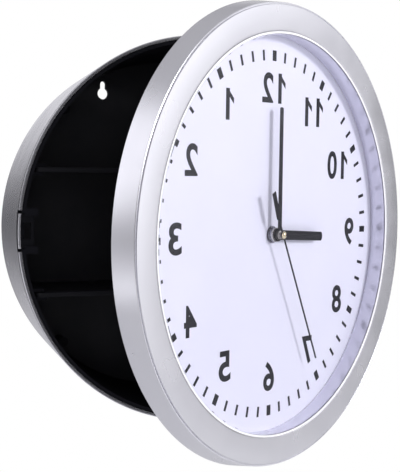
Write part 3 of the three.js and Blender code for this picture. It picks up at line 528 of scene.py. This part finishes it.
def copy_screw(screw, name, place):
    """Copies a screw to a hole."""
    pick(screw)
    bpy.ops.object.duplicate()
    copied = bpy.context.object
    copied.name = name + "_cut"
    bpy.ops.transform.translate(value=place)
    bpy.ops.object.transform_apply()
    return copied


back_screw = turn_screw(back_screw_length)
for name in ("back_screw_1", "back_screw_2", "back_screw_3", "back_screw_4"):
    low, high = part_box(name)
    screw = copy_screw(
        back_screw, name,
        ((low.x + high.x) / 2, high.y - screw_head_thickness, (low.z + high.z) / 2))
    hand_over(screw, steel, "case", "steel", name)
bpy.data.objects.remove(back_screw)
moulding("hinge_pin_upper", steel, "case", "steel", edge=0.2 * mm)
moulding("hinge_pin_lower", steel, "case", "steel", edge=0.2 * mm)


# Door back
# A black ABS panel behind the dial, moulded with its half of the hinge and the hook of the
# catch. Six screws hold it to the bezel.
door_open = math.radians(27)
door_back_y = hinge[1]
door_screw_radius = 119.15 * mm
door_screw_length = 8 * mm
door_screw_gap = 0.05 * mm
door_screw_count = 6


def swing(piece):
    """Turns a piece that was made on the shut door to where the open door holds it."""
    pick(piece)
    bpy.ops.transform.rotate(value=-door_open, orient_axis="Z", center_override=hinge)
    bpy.ops.object.transform_apply()


moulding("door_back", black, "door", "black_plastic", edge=0.15 * mm)
door_screw = turn_screw(door_screw_length)
for index in range(door_screw_count):
    angle = math.tau * (index + 0.5) / door_screw_count
    name = f"door_screw_{index + 1}"
    screw = copy_screw(
        door_screw, name,
        (door_screw_radius * math.cos(angle), door_back_y - door_screw_gap,
         door_screw_radius * math.sin(angle)))
    swing(screw)
    hand_over(screw, steel, "door", "steel", name)
bpy.data.objects.remove(door_screw)


# Dial
# A white sheet of polystyrene, cut round, with a hole for the neck of the movement. The
# crystal and the bezel hold it at its edge.
dial_y = door_back_y - 2.83 * mm
dial_radius = 113.2 * mm
dial_middle = 60 * mm
dial_hole = 4.3 * mm
dial_thickness = 0.8 * mm
dial = turn("dial_sheet", [
    (dial_hole, dial_y),
    (dial_middle, dial_y),
    (dial_radius, dial_y),
    (dial_radius, dial_y + dial_thickness),
    (dial_hole, dial_y + dial_thickness),
])
round_and_smooth(dial, width=0.08 * mm)
swing(dial)

# Rolled sheet with a satin tooth: a bright, faintly lavender white without a mirror image.
# The tooth is drawn at 0.7 mm, since the real one of under 0.1 mm is too fine to show.
dial_white = surface(
    "white_dial_sheet", ("#f1f1fa", "#f4f4fd"), patch=90 * mm, roughness=(0.42, 0.5),
    grain=0.7 * mm, relief=0.008 * mm)
hand_over(dial, dial_white, "door", "white_dial", "dial_plate")


# Minute marks
# Sixty bars of charcoal ink, screen printed on the dial, every fifth one broad. One bar is
# made and copied round. The film of ink is drawn thicker than it is.
mark_radius = 97.5 * mm
mark_length = 5.7 * mm
mark_width = 1.8 * mm
broad_mark_width = 3.6 * mm
mark_count = 60
ink_front = dial_y - 0.08 * mm
ink_back = dial_y - 0.005 * mm
bar = block(
    "mark", (-mark_width / 2, ink_front, mark_radius - mark_length / 2),
    (mark_width / 2, ink_back, mark_radius + mark_length / 2))
marks = []
for index in range(mark_count):
    pick(bar)
    bpy.ops.object.duplicate()
    mark = bpy.context.object
    mark.scale[0] = broad_mark_width / mark_width if index % 5 == 0 else 1
    mark.rotation_euler[1] = math.tau * index / mark_count
    bpy.ops.object.transform_apply()
    marks.append(mark)
bpy.data.objects.remove(bar)


def join_print(parts, name):
    """Joins printed parts into one piece."""
    bpy.ops.object.select_all(action="DESELECT")
    for part in parts:
        part.select_set(True)
    bpy.ops.object.join()
    joined = bpy.context.object
    joined.name = name
    return joined


minute_marks = join_print(marks, "minute_marks")
swing(minute_marks)

# Dried screen ink: a soft charcoal with hardly any gloss. Its grain is drawn at 0.4 mm,
# coarser than the mesh of a printing screen, which is too fine to show.
ink = surface(
    "charcoal_screen_ink", ("#17171b", "#1d1d22"), patch=12 * mm, roughness=(0.5, 0.6),
    grain=0.4 * mm, relief=0.004 * mm, shine=0.2)
hand_over(minute_marks, ink, "door", "white_dial")


# Hour numerals
# Bold upright figures in the same ink. The dial is mirrored, so they read backwards and
# run the other way round.
numeral_radius = 80 * mm
numeral_height = 16.4 * mm
numeral_width = 10.3 * mm
one_width = 6.9 * mm
numeral_gap = 4.9 * mm
numeral_stroke = 3.2 * mm
flag_thickness = 3 * mm
flag_drop = 5 * mm
print_weld_distance = 0.001 * mm
# Size of the figures in the text object's own units: raised, and drawn bolder by an offset.
text_rise = 0.01
text_boldness = 0.022
# The print doesn't stand quite on a circle: what some numerals stand off it, in mm.
numeral_shifts = {
    2: (2.2, 0), 3: (3.4, 0.7), 4: (1.2, -1.4), 5: (1.1, 1.4), 6: (0.4, 1.5), 7: (2.4, 1.1),
    8: (-0.3, -1), 9: (-2.3, -1), 10: (1.8, -1.2), 11: (-0.8, -0.6)}


def figure_one(centre_x, centre_z):
    """The figure 1: an upright stem with a flag that slopes down from its top."""
    top = centre_z + numeral_height / 2
    right = centre_x + one_width / 2
    stem = block(
        "stem", (right - numeral_stroke, ink_front, top - numeral_height), (right, ink_back, top))
    flag = block(
        "flag", (right - one_width, ink_front, top - flag_thickness),
        (right - numeral_stroke / 2, ink_back, top))
    choose(flag, lambda at: at.x < centre_x)
    bpy.ops.transform.translate(value=(0, 0, -flag_drop))
    bpy.ops.object.mode_set(mode="OBJECT")
    combine(stem, [flag], "UNION")
    return stem


def figure(character, centre_x, centre_z, width):
    """One figure of the dial, drawn as read and standing in the plane of the dial."""
    if character == "1":
        return figure_one(centre_x, centre_z)
    bpy.ops.object.text_add()
    letter = bpy.context.object
    letter.data.body = character
    letter.data.resolution_u = 8
    letter.data.extrude = text_rise
    letter.data.offset = text_boldness
    bpy.ops.object.convert(target="MESH")
    letter = bpy.context.object
    corners = [corner.co for corner in letter.data.vertices]
    low = [min(c[axis] for c in corners) for axis in range(3)]
    high = [max(c[axis] for c in corners) for axis in range(3)]
    size = [b - a for a, b in zip(low, high)]
    middle = [(a + b) / 2 for a, b in zip(low, high)]
    bpy.ops.object.mode_set(mode="EDIT")
    bpy.ops.mesh.select_all(action="SELECT")
    bpy.ops.transform.translate(value=[-m for m in middle])
    bpy.ops.transform.resize(
        value=(width / size[0], numeral_height / size[1], (ink_back - ink_front) / size[2]),
        center_override=(0, 0, 0))
    bpy.ops.object.mode_set(mode="OBJECT")
    letter.rotation_euler[0] = math.pi / 2
    letter.location = (centre_x, (ink_front + ink_back) / 2, centre_z)
    bpy.ops.object.transform_apply()
    return letter


figures = []
for hour in range(1, 13):
    text = str(hour)
    widths = [one_width if character == "1" else numeral_width for character in text]
    whole_width = sum(widths) + numeral_gap * (len(text) - 1)
    angle = math.tau * hour / 12
    shift_x, shift_z = [shift * mm for shift in numeral_shifts.get(hour, (0, 0))]
    left = numeral_radius * math.sin(angle) + shift_x - whole_width / 2
    level = numeral_radius * math.cos(angle) + shift_z
    for character, width in zip(text, widths):
        figures.append(figure(character, left + width / 2, level, width))
        left += width + numeral_gap
numerals = join_print(figures, "hour_numerals")
numerals.scale[0] = -1
bpy.ops.object.transform_apply()
bpy.ops.object.mode_set(mode="EDIT")
bpy.ops.mesh.select_all(action="SELECT")
bpy.ops.mesh.remove_doubles(threshold=print_weld_distance)
bpy.ops.mesh.normals_make_consistent(inside=False)
bpy.ops.object.mode_set(mode="OBJECT")
swing(numerals)
hand_over(numerals, ink, "door", "white_dial")


# Crystal
# A cup of clear polystyrene whose side wall stands on the dial. The lacquer of the bezel shows
# through that wall. A fine line is sunk round the pane, and the edge outside it is painted white:
# a painted highlight for the light that the edge of the clear plastic gathers.
face_inner = 109.7 * mm
door_front_y = door_back_y - 13.6 * mm
crystal_outer = face_inner - 0.1 * mm
crystal_front = door_front_y + 0.03 * mm
crystal_edge = 1.1 * mm
crystal_rounding = 0.05 * mm
crystal_wall = 1.3 * mm
crystal_corner = 0.5 * mm
pane_middle = 30 * mm
pane_back = crystal_front + 1.2 * mm
line_outer = crystal_outer - crystal_edge
line_width = 0.6 * mm
line_slope = 0.15 * mm
line_depth = 0.3 * mm
foot_gap = 0.3 * mm
foot_width = 3.9 * mm
foot_back = dial_y - foot_gap
foot_front = foot_back - 1.6 * mm
crystal = turn("crystal_cup", [
    (pane_middle, crystal_front),
    (line_outer - line_width, crystal_front),
    (line_outer - line_width + line_slope, crystal_front + line_depth),
    (line_outer - line_slope, crystal_front + line_depth),
    (line_outer, crystal_front),
    (crystal_outer - crystal_rounding, crystal_front),
    (crystal_outer, crystal_front + crystal_rounding),
    (crystal_outer, foot_front),
    (crystal_outer + foot_width, foot_front),
    (crystal_outer + foot_width, foot_back),
    (crystal_outer - crystal_wall, foot_back),
    (crystal_outer - crystal_wall, pane_back),
    (crystal_outer - crystal_wall - crystal_corner, pane_back),
    (pane_middle, pane_back),
], sides=256, solid=True)
round_and_smooth(crystal, width=0.03 * mm)

# Polished clear plastic: the dial shows through it unchanged, under a trace of gloss. Its IOR
# is set below the 1.59 of polystyrene, because hardly any mirror image shows on the real one.
# Light and shadow pass it unbent.
clear = bpy.data.materials.new("clear_polystyrene")
clear.use_nodes = True
clear_tree = clear.node_tree
glass = clear_tree.nodes["Principled BSDF"]
glass.inputs["Transmission Weight"].default_value = 1.0
glass.inputs["IOR"].default_value = 1.18
clear_place = add_node(clear_tree, "ShaderNodeTexCoord").outputs["Object"]
haze = add_node(clear_tree, "ShaderNodeTexNoise", {"Vector": clear_place, "Scale": 1 / (30 * mm)})
clear_tint = add_node(clear_tree, "ShaderNodeValToRGB", {"Fac": haze.outputs["Fac"]})
clear_tint.color_ramp.elements[0].color = srgb("#f8f8fd")
clear_tint.color_ramp.elements[1].color = srgb("#fdfdff")
clear_tree.links.new(clear_tint.outputs["Color"], glass.inputs["Base Color"])
smear = add_node(
    clear_tree, "ShaderNodeMapRange",
    {"Value": haze.outputs["Fac"], "To Min": 0.0, "To Max": 0.03})
clear_tree.links.new(smear.outputs["Result"], glass.inputs["Roughness"])
path = add_node(clear_tree, "ShaderNodeLightPath")
unbent = add_node(
    clear_tree, "ShaderNodeMath",
    {0: path.outputs["Is Shadow Ray"], 1: path.outputs["Is Diffuse Ray"]}, operation="MAXIMUM")
let_through = add_node(clear_tree, "ShaderNodeBsdfTransparent")
let_through.inputs["Color"].default_value = srgb("#f4f4f8")
both = add_node(
    clear_tree, "ShaderNodeMixShader",
    {0: unbent.outputs["Value"], 1: glass.outputs["BSDF"], 2: let_through.outputs["BSDF"]})
clear_tree.links.new(both.outputs["Shader"], clear_tree.nodes["Material Output"].inputs["Surface"])

# Clear plastic against the lacquer of the bezel: a glossy lavender silver that mirrors the
# minute marks dimly. Its faint waves are drawn 0.8 mm wide.
silver_behind = surface(
    "polystyrene_over_silver", ("#dcdbe6", "#e0dfea"), patch=40 * mm, roughness=(0.2, 0.26),
    grain=0.8 * mm, relief=0.004 * mm, metallic=0.6)

# The edge of the plastic outside the sunk line: a white line that is a painted highlight, for the
# light that the edge of the clear plastic gathers. Its grain is drawn 0.3 mm wide.
white_edge_highlight = surface(
    "crystal_edge_painted_highlight", ("#f4f4f8", "#fbfbfd"), patch=20 * mm, roughness=(0.35, 0.5),
    grain=0.3 * mm, relief=0.003 * mm)


def on_side_wall(at):
    """Whether a corner of the crystal lies on its side wall or its foot."""
    return math.hypot(at.x, at.z) > crystal_outer - crystal_wall - near


def on_ground_edge(at):
    """Whether a corner of the crystal lies on its front outside the sunk line."""
    return at.y < crystal_front + 1.2 * near and math.hypot(at.x, at.z) > line_outer - 0.4 * near


crystal.data.materials.append(clear)
paint_part(crystal, silver_behind, on_side_wall)
paint_part(crystal, white_edge_highlight, on_ground_edge)
swing(crystal)
hand_over(crystal, None, "door", "clear_plastic", "crystal")


# Bezel
# An ABS ring under the same satin silver lacquer as the case. A slightly flared wall ends in
# a fine step, and then comes a nearly flat face down to the crystal.
bezel_back = 126.8 * mm
bezel_back_wall = 1.8 * mm
bezel_front = 125.1 * mm
bezel_front_wall = 1.7 * mm
face_outer = 123.7 * mm
face_rounding_start = 110.3 * mm
face_thickness = 1.8 * mm
face_lift = 0.05 * mm
crown_rise = 0.07 * mm
crown_steps = 12
collar_wall = 1.6 * mm
# Outlines in mm: how far each point lies inside the ring, from that edge of it, and how far
# before its back or behind its front.
back_edge = ((0.6, 0), (0.2, 0.15), (0.05, 0.6))
front_step = (
    (-0.05, 0.8), (0.1, 0.45), (0.4, 0.35), (0.55, 0.45),
    (0.6, 0.85), (1.1, 0.85), (1.15, 0.3), (1.3, 0.05))
inner_edge = ((0.25, 0), (0.05, 0.08), (0, 0.25))
crown = []
for index in range(crown_steps + 1):
    share = index / crown_steps
    crown.append((
        face_outer + (face_rounding_start - face_outer) * share,
        door_front_y - face_lift - 4 * crown_rise * share * (1 - share)))
face_back = door_front_y + face_thickness
bezel = turn("bezel_skin", [
    *[(bezel_back - inward * mm, door_back_y - before * mm) for inward, before in back_edge],
    *[(bezel_front - inward * mm, door_front_y + behind * mm) for inward, behind in front_step],
    *crown,
    *[(face_inner + outward * mm, door_front_y + behind * mm) for outward, behind in inner_edge],
    (face_inner, foot_front - foot_gap),
    (face_inner + collar_wall, foot_front - foot_gap),
    (face_inner + collar_wall, face_back),
    (bezel_front - bezel_front_wall, face_back),
    (bezel_back - bezel_back_wall, door_back_y),
], sides=320)
round_and_smooth(bezel, width=0.0, angle=35)
swing(bezel)
hand_over(bezel, silver, "door", "silver_paint", "bezel_ring")


# Clock movement
# A standard quartz movement behind the dial: a black tray and lid, a rubber washer, and a
# brass neck that a ring nut with a black flange clamps to the dial.
nut_gap = 0.3 * mm
nut_height = 2.1 * mm
nut_bore = 3.2 * mm
collar_radius = 4.1 * mm
collar_chamfer = 0.3 * mm
neck_radius = 3.6 * mm
neck_width = 0.3 * mm
neck_draft = 0.05 * mm
flange_radius = 4.7 * mm
flange_chamfer = 0.25 * mm
flange_thickness = 0.8 * mm
moulding("movement_case", black, "door", "black_plastic", edge=0.25 * mm)
moulding("movement_cover", black, "door", "black_plastic", edge=0.2 * mm)

# Moulded rubber: a dull grey black without highlights. Its bloom is drawn at 0.3 mm, far
# coarser than the real dust.
rubber = surface(
    "black_rubber", ("#1a1a1c", "#232326"), patch=5 * mm, roughness=(0.75, 0.9),
    grain=0.3 * mm, relief=0.02 * mm)
moulding("movement_washer", rubber, "door", "rubber", edge=0.15 * mm)

# Brass under a thin coat of nickel: a warm pale grey with soft highlights. The marks of the
# lathe are drawn at 0.2 mm, since the real ones are too fine to show.
pale_brass = surface(
    "nickelled_brass", ("#c2c0bc", "#cecbc6"), patch=4 * mm, roughness=(0.2, 0.3),
    grain=0.2 * mm, relief=0.004 * mm, metallic=0.6)
moulding("movement_neck", pale_brass, "door", "brass", edge=0.1 * mm)
nut_back = dial_y - nut_gap
nut_front = nut_back - nut_height
flange_front = nut_back - flange_thickness
nut = turn("ring_nut", [
    (nut_bore, nut_front),
    (collar_radius - collar_chamfer, nut_front),
    (collar_radius, nut_front + collar_chamfer),
    (collar_radius, flange_front - neck_width),
    (neck_radius, flange_front - neck_width + neck_draft),
    (neck_radius, flange_front),
    (flange_radius - flange_chamfer, flange_front),
    (flange_radius, flange_front + flange_chamfer),
    (flange_radius, nut_back),
    (nut_bore, nut_back),
], sides=96)
round_and_smooth(nut, width=0.06 * mm)

# Turned brass under black nickel: a dark mirror that shows the white dial as pale rings. The
# marks of the lathe are drawn at 0.3 mm, since the real ones are too fine to show.
black_nickel = surface(
    "black_nickel_plating", ("#8a8a94", "#9696a0"), patch=4 * mm, roughness=(0.15, 0.25),
    grain=0.3 * mm, relief=0.003 * mm, metallic=0.8)

# Sprayed and baked enamel on thin metal: a smooth black with a weak gloss. Its orange peel is
# drawn at 0.3 mm, about as wide as it is.
hand_black = surface(
    "black_hand_enamel", ("#141418", "#1b1b20"), patch=10 * mm, roughness=(0.3, 0.4),
    grain=0.3 * mm, relief=0.004 * mm, shine=0.3)


def is_enamelled(at):
    """Whether a corner of the nut lies on the black rim of its flange, or in its neck, black as
    painted shade.
    """
    radius = math.hypot(at.x, at.z)
    on_rim = radius > flange_radius - flange_chamfer + near
    in_shaded_neck = (
        flange_front - neck_width - near < at.y < flange_front + 2 * near
        and radius < collar_radius + near)
    return on_rim or in_shaded_neck


nut.data.materials.append(black_nickel)
# The neck of the nut is painted black as painted shade under the flange, and the rim of the flange
# is black.
paint_part(nut, hand_black, is_enamelled)
swing(nut)
hand_over(nut, None, "door", "black_paint", "fixing_nut")


# Battery and works
# A plain cell in the bay of the movement with a spring plate at each end, the coil and the
# board above it, and the knob that sets the hands.

# A shrunk plastic sleeve over a steel can: a cool grey with a sheen. Its wrinkles are drawn
# 0.5 mm wide.
battery_wrap = surface(
    "grey_battery_sleeve", ("#6a7078", "#787e86"), patch=15 * mm, roughness=(0.3, 0.4),
    grain=0.5 * mm, relief=0.004 * mm, metallic=0.3)
moulding("battery", battery_wrap, "door", "battery_wrap", edge=0.4 * mm)
moulding("battery_contact_minus", steel, "door", "steel", edge=0.1 * mm)
moulding("battery_contact_plus", steel, "door", "steel", edge=0.1 * mm)

# Fine wound wire under clear enamel: a reddish brown with a broken gloss. The wire of under
# 0.1 mm is too fine to show, and its relief is drawn at 0.25 mm.
copper = surface(
    "enamelled_copper_wire", ("#a85c30", "#bd7040"), patch=3 * mm, roughness=(0.25, 0.4),
    grain=0.25 * mm, relief=0.05 * mm, metallic=0.9)
moulding("drive_coil", copper, "door", "coil_copper", edge=0.1 * mm)

# Glass cloth in resin under a green mask: a half glossy green, a little uneven. The weave
# shows as a grain of 0.4 mm.
laminate = surface(
    "green_laminate_board", ("#2b6340", "#35744c"), patch=4 * mm, roughness=(0.35, 0.5),
    grain=0.4 * mm, relief=0.01 * mm)
moulding("circuit_board", laminate, "door", "circuit_board", edge=0.1 * mm)
moulding("set_knob", black, "set_knob", "black_plastic", edge=0.12 * mm)


# Arbors
# Nickelled brass tubes one inside the other carry the hour and minute hands, and a steel
# arbor carries the second hand.
moulding("hour_pipe", pale_brass, "hour", "brass", edge=0.08 * mm)
moulding("minute_pipe", pale_brass, "minute", "brass", edge=0.08 * mm)
moulding("second_arbor", steel, "second", "steel", edge=0.08 * mm)


# Hour and minute hands
# Blanked from thin aluminium and enamelled black. Each is a round eye pulled out into a blade
# with a square end. A raised rib stiffens the hour hand, and a collar on the minute pipe
# holds the minute hand.
hour_angle = math.radians(93)
hour_front = dial_y - 4.7 * mm
rib_half_width = 0.6 * mm
rib_rise = 0.25 * mm
rib_sink = 0.2 * mm
rib_start = 5 * mm
rib_end = 42 * mm
minute_front = dial_y - 5.6 * mm
pipe_collar_bore = 0.8 * mm
pipe_collar_radius = 2.4 * mm
pipe_collar_rounding = 0.1 * mm
pipe_collar_slope = 0.05 * mm
pipe_collar_front = minute_front - 0.3 * mm
pipe_collar_back = minute_front + 0.05 * mm


def pull_hand(name, eye, half_width, length, bore, front, thickness):
    """An upright hand: an eye whose top edge is pulled up the dial into a blade."""
    bpy.ops.mesh.primitive_circle_add(
        vertices=96, radius=eye, fill_type="NGON", location=(0, front, 0),
        rotation=(math.pi / 2, 0, 0))
    piece = bpy.context.object
    piece.name = name
    bpy.ops.object.transform_apply()
    choose(piece, lambda at: at.z > 0 and abs(at.x) <= half_width)
    bpy.ops.transform.translate(value=(0, 0, length - eye))
    bpy.ops.mesh.select_all(action="SELECT")
    bpy.ops.mesh.extrude_region_move(TRANSFORM_OT_translate={"value": (0, thickness, 0)})
    bpy.ops.mesh.select_all(action="SELECT")
    bpy.ops.mesh.normals_make_consistent(inside=False)
    bpy.ops.object.mode_set(mode="OBJECT")
    hole = rod("bore", bore, (0, front - 2 * overrun, 0), (0, front + 2 * overrun, 0))
    combine(piece, [hole], "DIFFERENCE")
    return piece


def set_hand(piece, angle, width):
    """Breaks the edges of a hand and turns it to where it points."""
    round_and_smooth(piece, width)
    pick(piece)
    piece.rotation_euler[1] = angle
    bpy.ops.object.transform_apply()
    swing(piece)


hour_hand = pull_hand(
    "hour_hand_blade", eye=3.6 * mm, half_width=2.6 * mm, length=44.8 * mm, bore=2.75 * mm,
    front=hour_front, thickness=0.5 * mm)
rib = block(
    "rib", (-rib_half_width, hour_front - rib_rise, rib_start),
    (rib_half_width, hour_front + rib_sink, rib_end))
combine(hour_hand, [rib], "UNION")
set_hand(hour_hand, hour_angle, width=0.12 * mm)
hand_over(hour_hand, hand_black, "hour", "black_paint", "hour_hand")
minute_hand = pull_hand(
    "minute_hand_blade", eye=2.9 * mm, half_width=1.7 * mm, length=69.5 * mm, bore=1.8 * mm,
    front=minute_front, thickness=0.3 * mm)
set_hand(minute_hand, 0, width=0.1 * mm)
hand_over(minute_hand, hand_black, "minute", "black_paint", "minute_hand")
pipe_collar = turn("minute_pipe_end", [
    (pipe_collar_bore, pipe_collar_front),
    (pipe_collar_radius - pipe_collar_rounding, pipe_collar_front + pipe_collar_slope),
    (pipe_collar_radius, pipe_collar_front + pipe_collar_slope + pipe_collar_rounding),
    (pipe_collar_radius, pipe_collar_back),
    (pipe_collar_bore, pipe_collar_back),
], sides=64)
round_and_smooth(pipe_collar, width=0.04 * mm)
swing(pipe_collar)
hand_over(pipe_collar, pale_brass, "minute", "brass")


# Second hand
# A thin enamelled needle with a broad tail that leans a little, pressed on the steel arbor
# under a small polished brass cap.
second_angle = math.radians(153.7)
second_front = dial_y - 8 * mm
second_thickness = 0.4 * mm
needle_width = 1 * mm
needle_length = 80 * mm
needle_tail = 9 * mm
shoulder_length = 1.6 * mm
paddle_share = 3.2
paddle_length = 14.4 * mm
paddle_lean = 1.8 * mm
hub_radius = 2 * mm
bpy.ops.mesh.primitive_plane_add(
    size=1, location=(0, second_front, (needle_length - needle_tail) / 2),
    rotation=(math.pi / 2, 0, 0))
needle = bpy.context.object
needle.name = "second_hand_needle"
needle.scale = (needle_width, needle_length + needle_tail, 1)
bpy.ops.object.transform_apply()
choose(needle, lambda at: at.z < 0, "EDGE")
bpy.ops.mesh.extrude_edges_move(TRANSFORM_OT_translate={"value": (0, 0, -shoulder_length)})
bpy.ops.transform.resize(value=(paddle_share, 1, 1), center_override=(0, second_front, 0))
bpy.ops.mesh.extrude_edges_move(
    TRANSFORM_OT_translate={"value": (-paddle_lean, 0, -paddle_length)})
bpy.ops.mesh.select_all(action="SELECT")
bpy.ops.mesh.extrude_region_move(TRANSFORM_OT_translate={"value": (0, second_thickness, 0)})
bpy.ops.mesh.select_all(action="SELECT")
bpy.ops.mesh.normals_make_consistent(inside=False)
bpy.ops.object.mode_set(mode="OBJECT")
hub = rod("hub", hub_radius, (0, second_front, 0), (0, second_front + second_thickness, 0))
combine(needle, [hub], "UNION")
set_hand(needle, second_angle, width=0.08 * mm)
hand_over(needle, hand_black, "second", "black_paint", "second_hand")

# Turned and polished brass: a small warm bright dot with a sharp highlight. The marks of the
# lathe are drawn at 0.2 mm, since the real ones are too fine to show.
brass = surface(
    "polished_pale_brass", ("#d8caa4", "#e6dbbd"), patch=4 * mm, roughness=(0.12, 0.2),
    grain=0.2 * mm, relief=0.004 * mm, metallic=1.0)
cap_back = second_front - 0.3 * mm
# Outline of the domed cap in mm: the radius, and how far it stands out there.
cap_dome = ((0.3, 1.1), (0.9, 1.02), (1.5, 0.8), (2, 0.4), (2.2, 0), (0.3, 0))
cap = turn(
    "hand_cap_turned", [(radius * mm, cap_back - rise * mm) for radius, rise in cap_dome],
    sides=64, solid=True)
round_and_smooth(cap, width=0.05 * mm)
swing(cap)
hand_over(cap, brass, "second", "brass", "hand_cap")


# Studio
# A pale floor well below the clock, and a soft lamp at the right. The surround is bright above
# and below, with soft boxes on both sides and behind that the silver lacquer mirrors. The
# camera stands where the photograph was taken.
floor_size = 2.4
floor_place = (0, -0.1, -0.55)
lamp_place = (1.1, -1.16, 0.47)
lamp_size = 0.3
lamp_watts = 14
camera_place = (-0.2888, -0.6781, 0.0353)
camera_degrees = (86.69, -0.801, -24.875)
camera_lens = 88.16
bpy.ops.mesh.primitive_plane_add(size=floor_size, location=floor_place)
floor = bpy.context.object
floor.name = "studio_floor"
bpy.ops.object.transform_apply()

# Matt white backdrop paper: a pale ground that takes soft shadows. Its fibres are drawn 5 mm
# wide, because finer ones don't show from here.
paper = surface(
    "white_studio_paper", ("#f0f0f3", "#f6f6f8"), patch=400 * mm, roughness=(0.8, 0.9),
    grain=5 * mm, relief=0.05 * mm)
floor.data.materials.append(paper)

bpy.ops.object.light_add(type="AREA", location=lamp_place)
lamp = bpy.context.object
lamp.name = "key_lamp"
lamp.data.shape = "SQUARE"
lamp.data.size = lamp_size
lamp.data.energy = lamp_watts
lamp.rotation_euler = (
    math.atan2(math.hypot(*lamp_place[:2]), lamp_place[2]), 0,
    math.atan2(lamp_place[0], -lamp_place[1]))

world = bpy.data.worlds.new("studio_surround")
world.use_nodes = True
bpy.context.scene.world = world
sky = world.node_tree
direction = add_node(sky, "ShaderNodeTexCoord").outputs["Generated"]
axes = add_node(sky, "ShaderNodeSeparateXYZ", {"Vector": direction})


def glow(source, dark_at, bright_at, bright):
    """A brightness that grows from nothing along a measure of direction."""
    return add_node(
        sky, "ShaderNodeMapRange",
        {"Value": source, "From Min": dark_at, "From Max": bright_at, "To Max": bright},
        interpolation_type="SMOOTHSTEP").outputs["Result"]


# Each soft box: the way it lies from the clock, the cosines to that way at which it begins
# and is full, and its brightness. They lie in front, then at the right, left and behind.
soft_boxes = (
    ((-0.19, -0.975, 0.05), 0.85, 0.97, 1.3),
    ((0.9, -0.42, 0.12), 0.93, 0.99, 1.25),
    ((0.956, -0.269, 0.119), 0.95, 0.995, 0.15),
    ((0.945, -0.318, -0.08), 0.95, 0.995, 0.2),
    ((0.93, -0.05, 0.36), 0.95, 0.995, 1.0),
    ((-0.98, 0.19, 0), 0.85, 0.98, 0.44),
    ((-0.85, 0.28, 0.45), 0.85, 0.98, 1.2),
    ((0.25, 0.95, 0.2), 0.93, 0.99, 0.82))
glows = [
    glow(axes.outputs["Z"], 0.0, 0.8, 0.52),
    glow(axes.outputs["Z"], 0.0, -0.8, 2.5)]
for way, begins, full, bright in soft_boxes:
    toward = add_node(
        sky, "ShaderNodeVectorMath", {0: direction, 1: way}, operation="DOT_PRODUCT")
    glows.append(glow(toward.outputs["Value"], begins, full, bright))
light = glows[0]
for more in glows[1:]:
    light = add_node(sky, "ShaderNodeMath", {0: light, 1: more}, operation="ADD").outputs["Value"]
seen = add_node(sky, "ShaderNodeLightPath").outputs["Is Camera Ray"]
strength = add_node(sky, "ShaderNodeMath", {0: light, 1: seen}, operation="MAXIMUM")
sky_tint = add_node(sky, "ShaderNodeMix", {0: seen}, data_type="RGBA")
sky_tint.inputs[6].default_value = srgb("#fbfaff")
sky_tint.inputs[7].default_value = srgb("#ffffff")
backdrop = sky.nodes["Background"]
sky.links.new(sky_tint.outputs[2], backdrop.inputs["Color"])
sky.links.new(strength.outputs["Value"], backdrop.inputs["Strength"])
bpy.context.scene.view_settings.view_transform = "Standard"

camera_data = bpy.data.cameras.new("camera")
camera_data.sensor_width = 36
camera_data.lens = camera_lens
camera_data.clip_start = 0.05
camera = bpy.data.objects.new("camera", camera_data)
bpy.context.scene.collection.objects.link(camera)
camera.location = camera_place
camera.rotation_euler = [math.radians(angle) for angle in camera_degrees]
bpy.context.scene.camera = camera
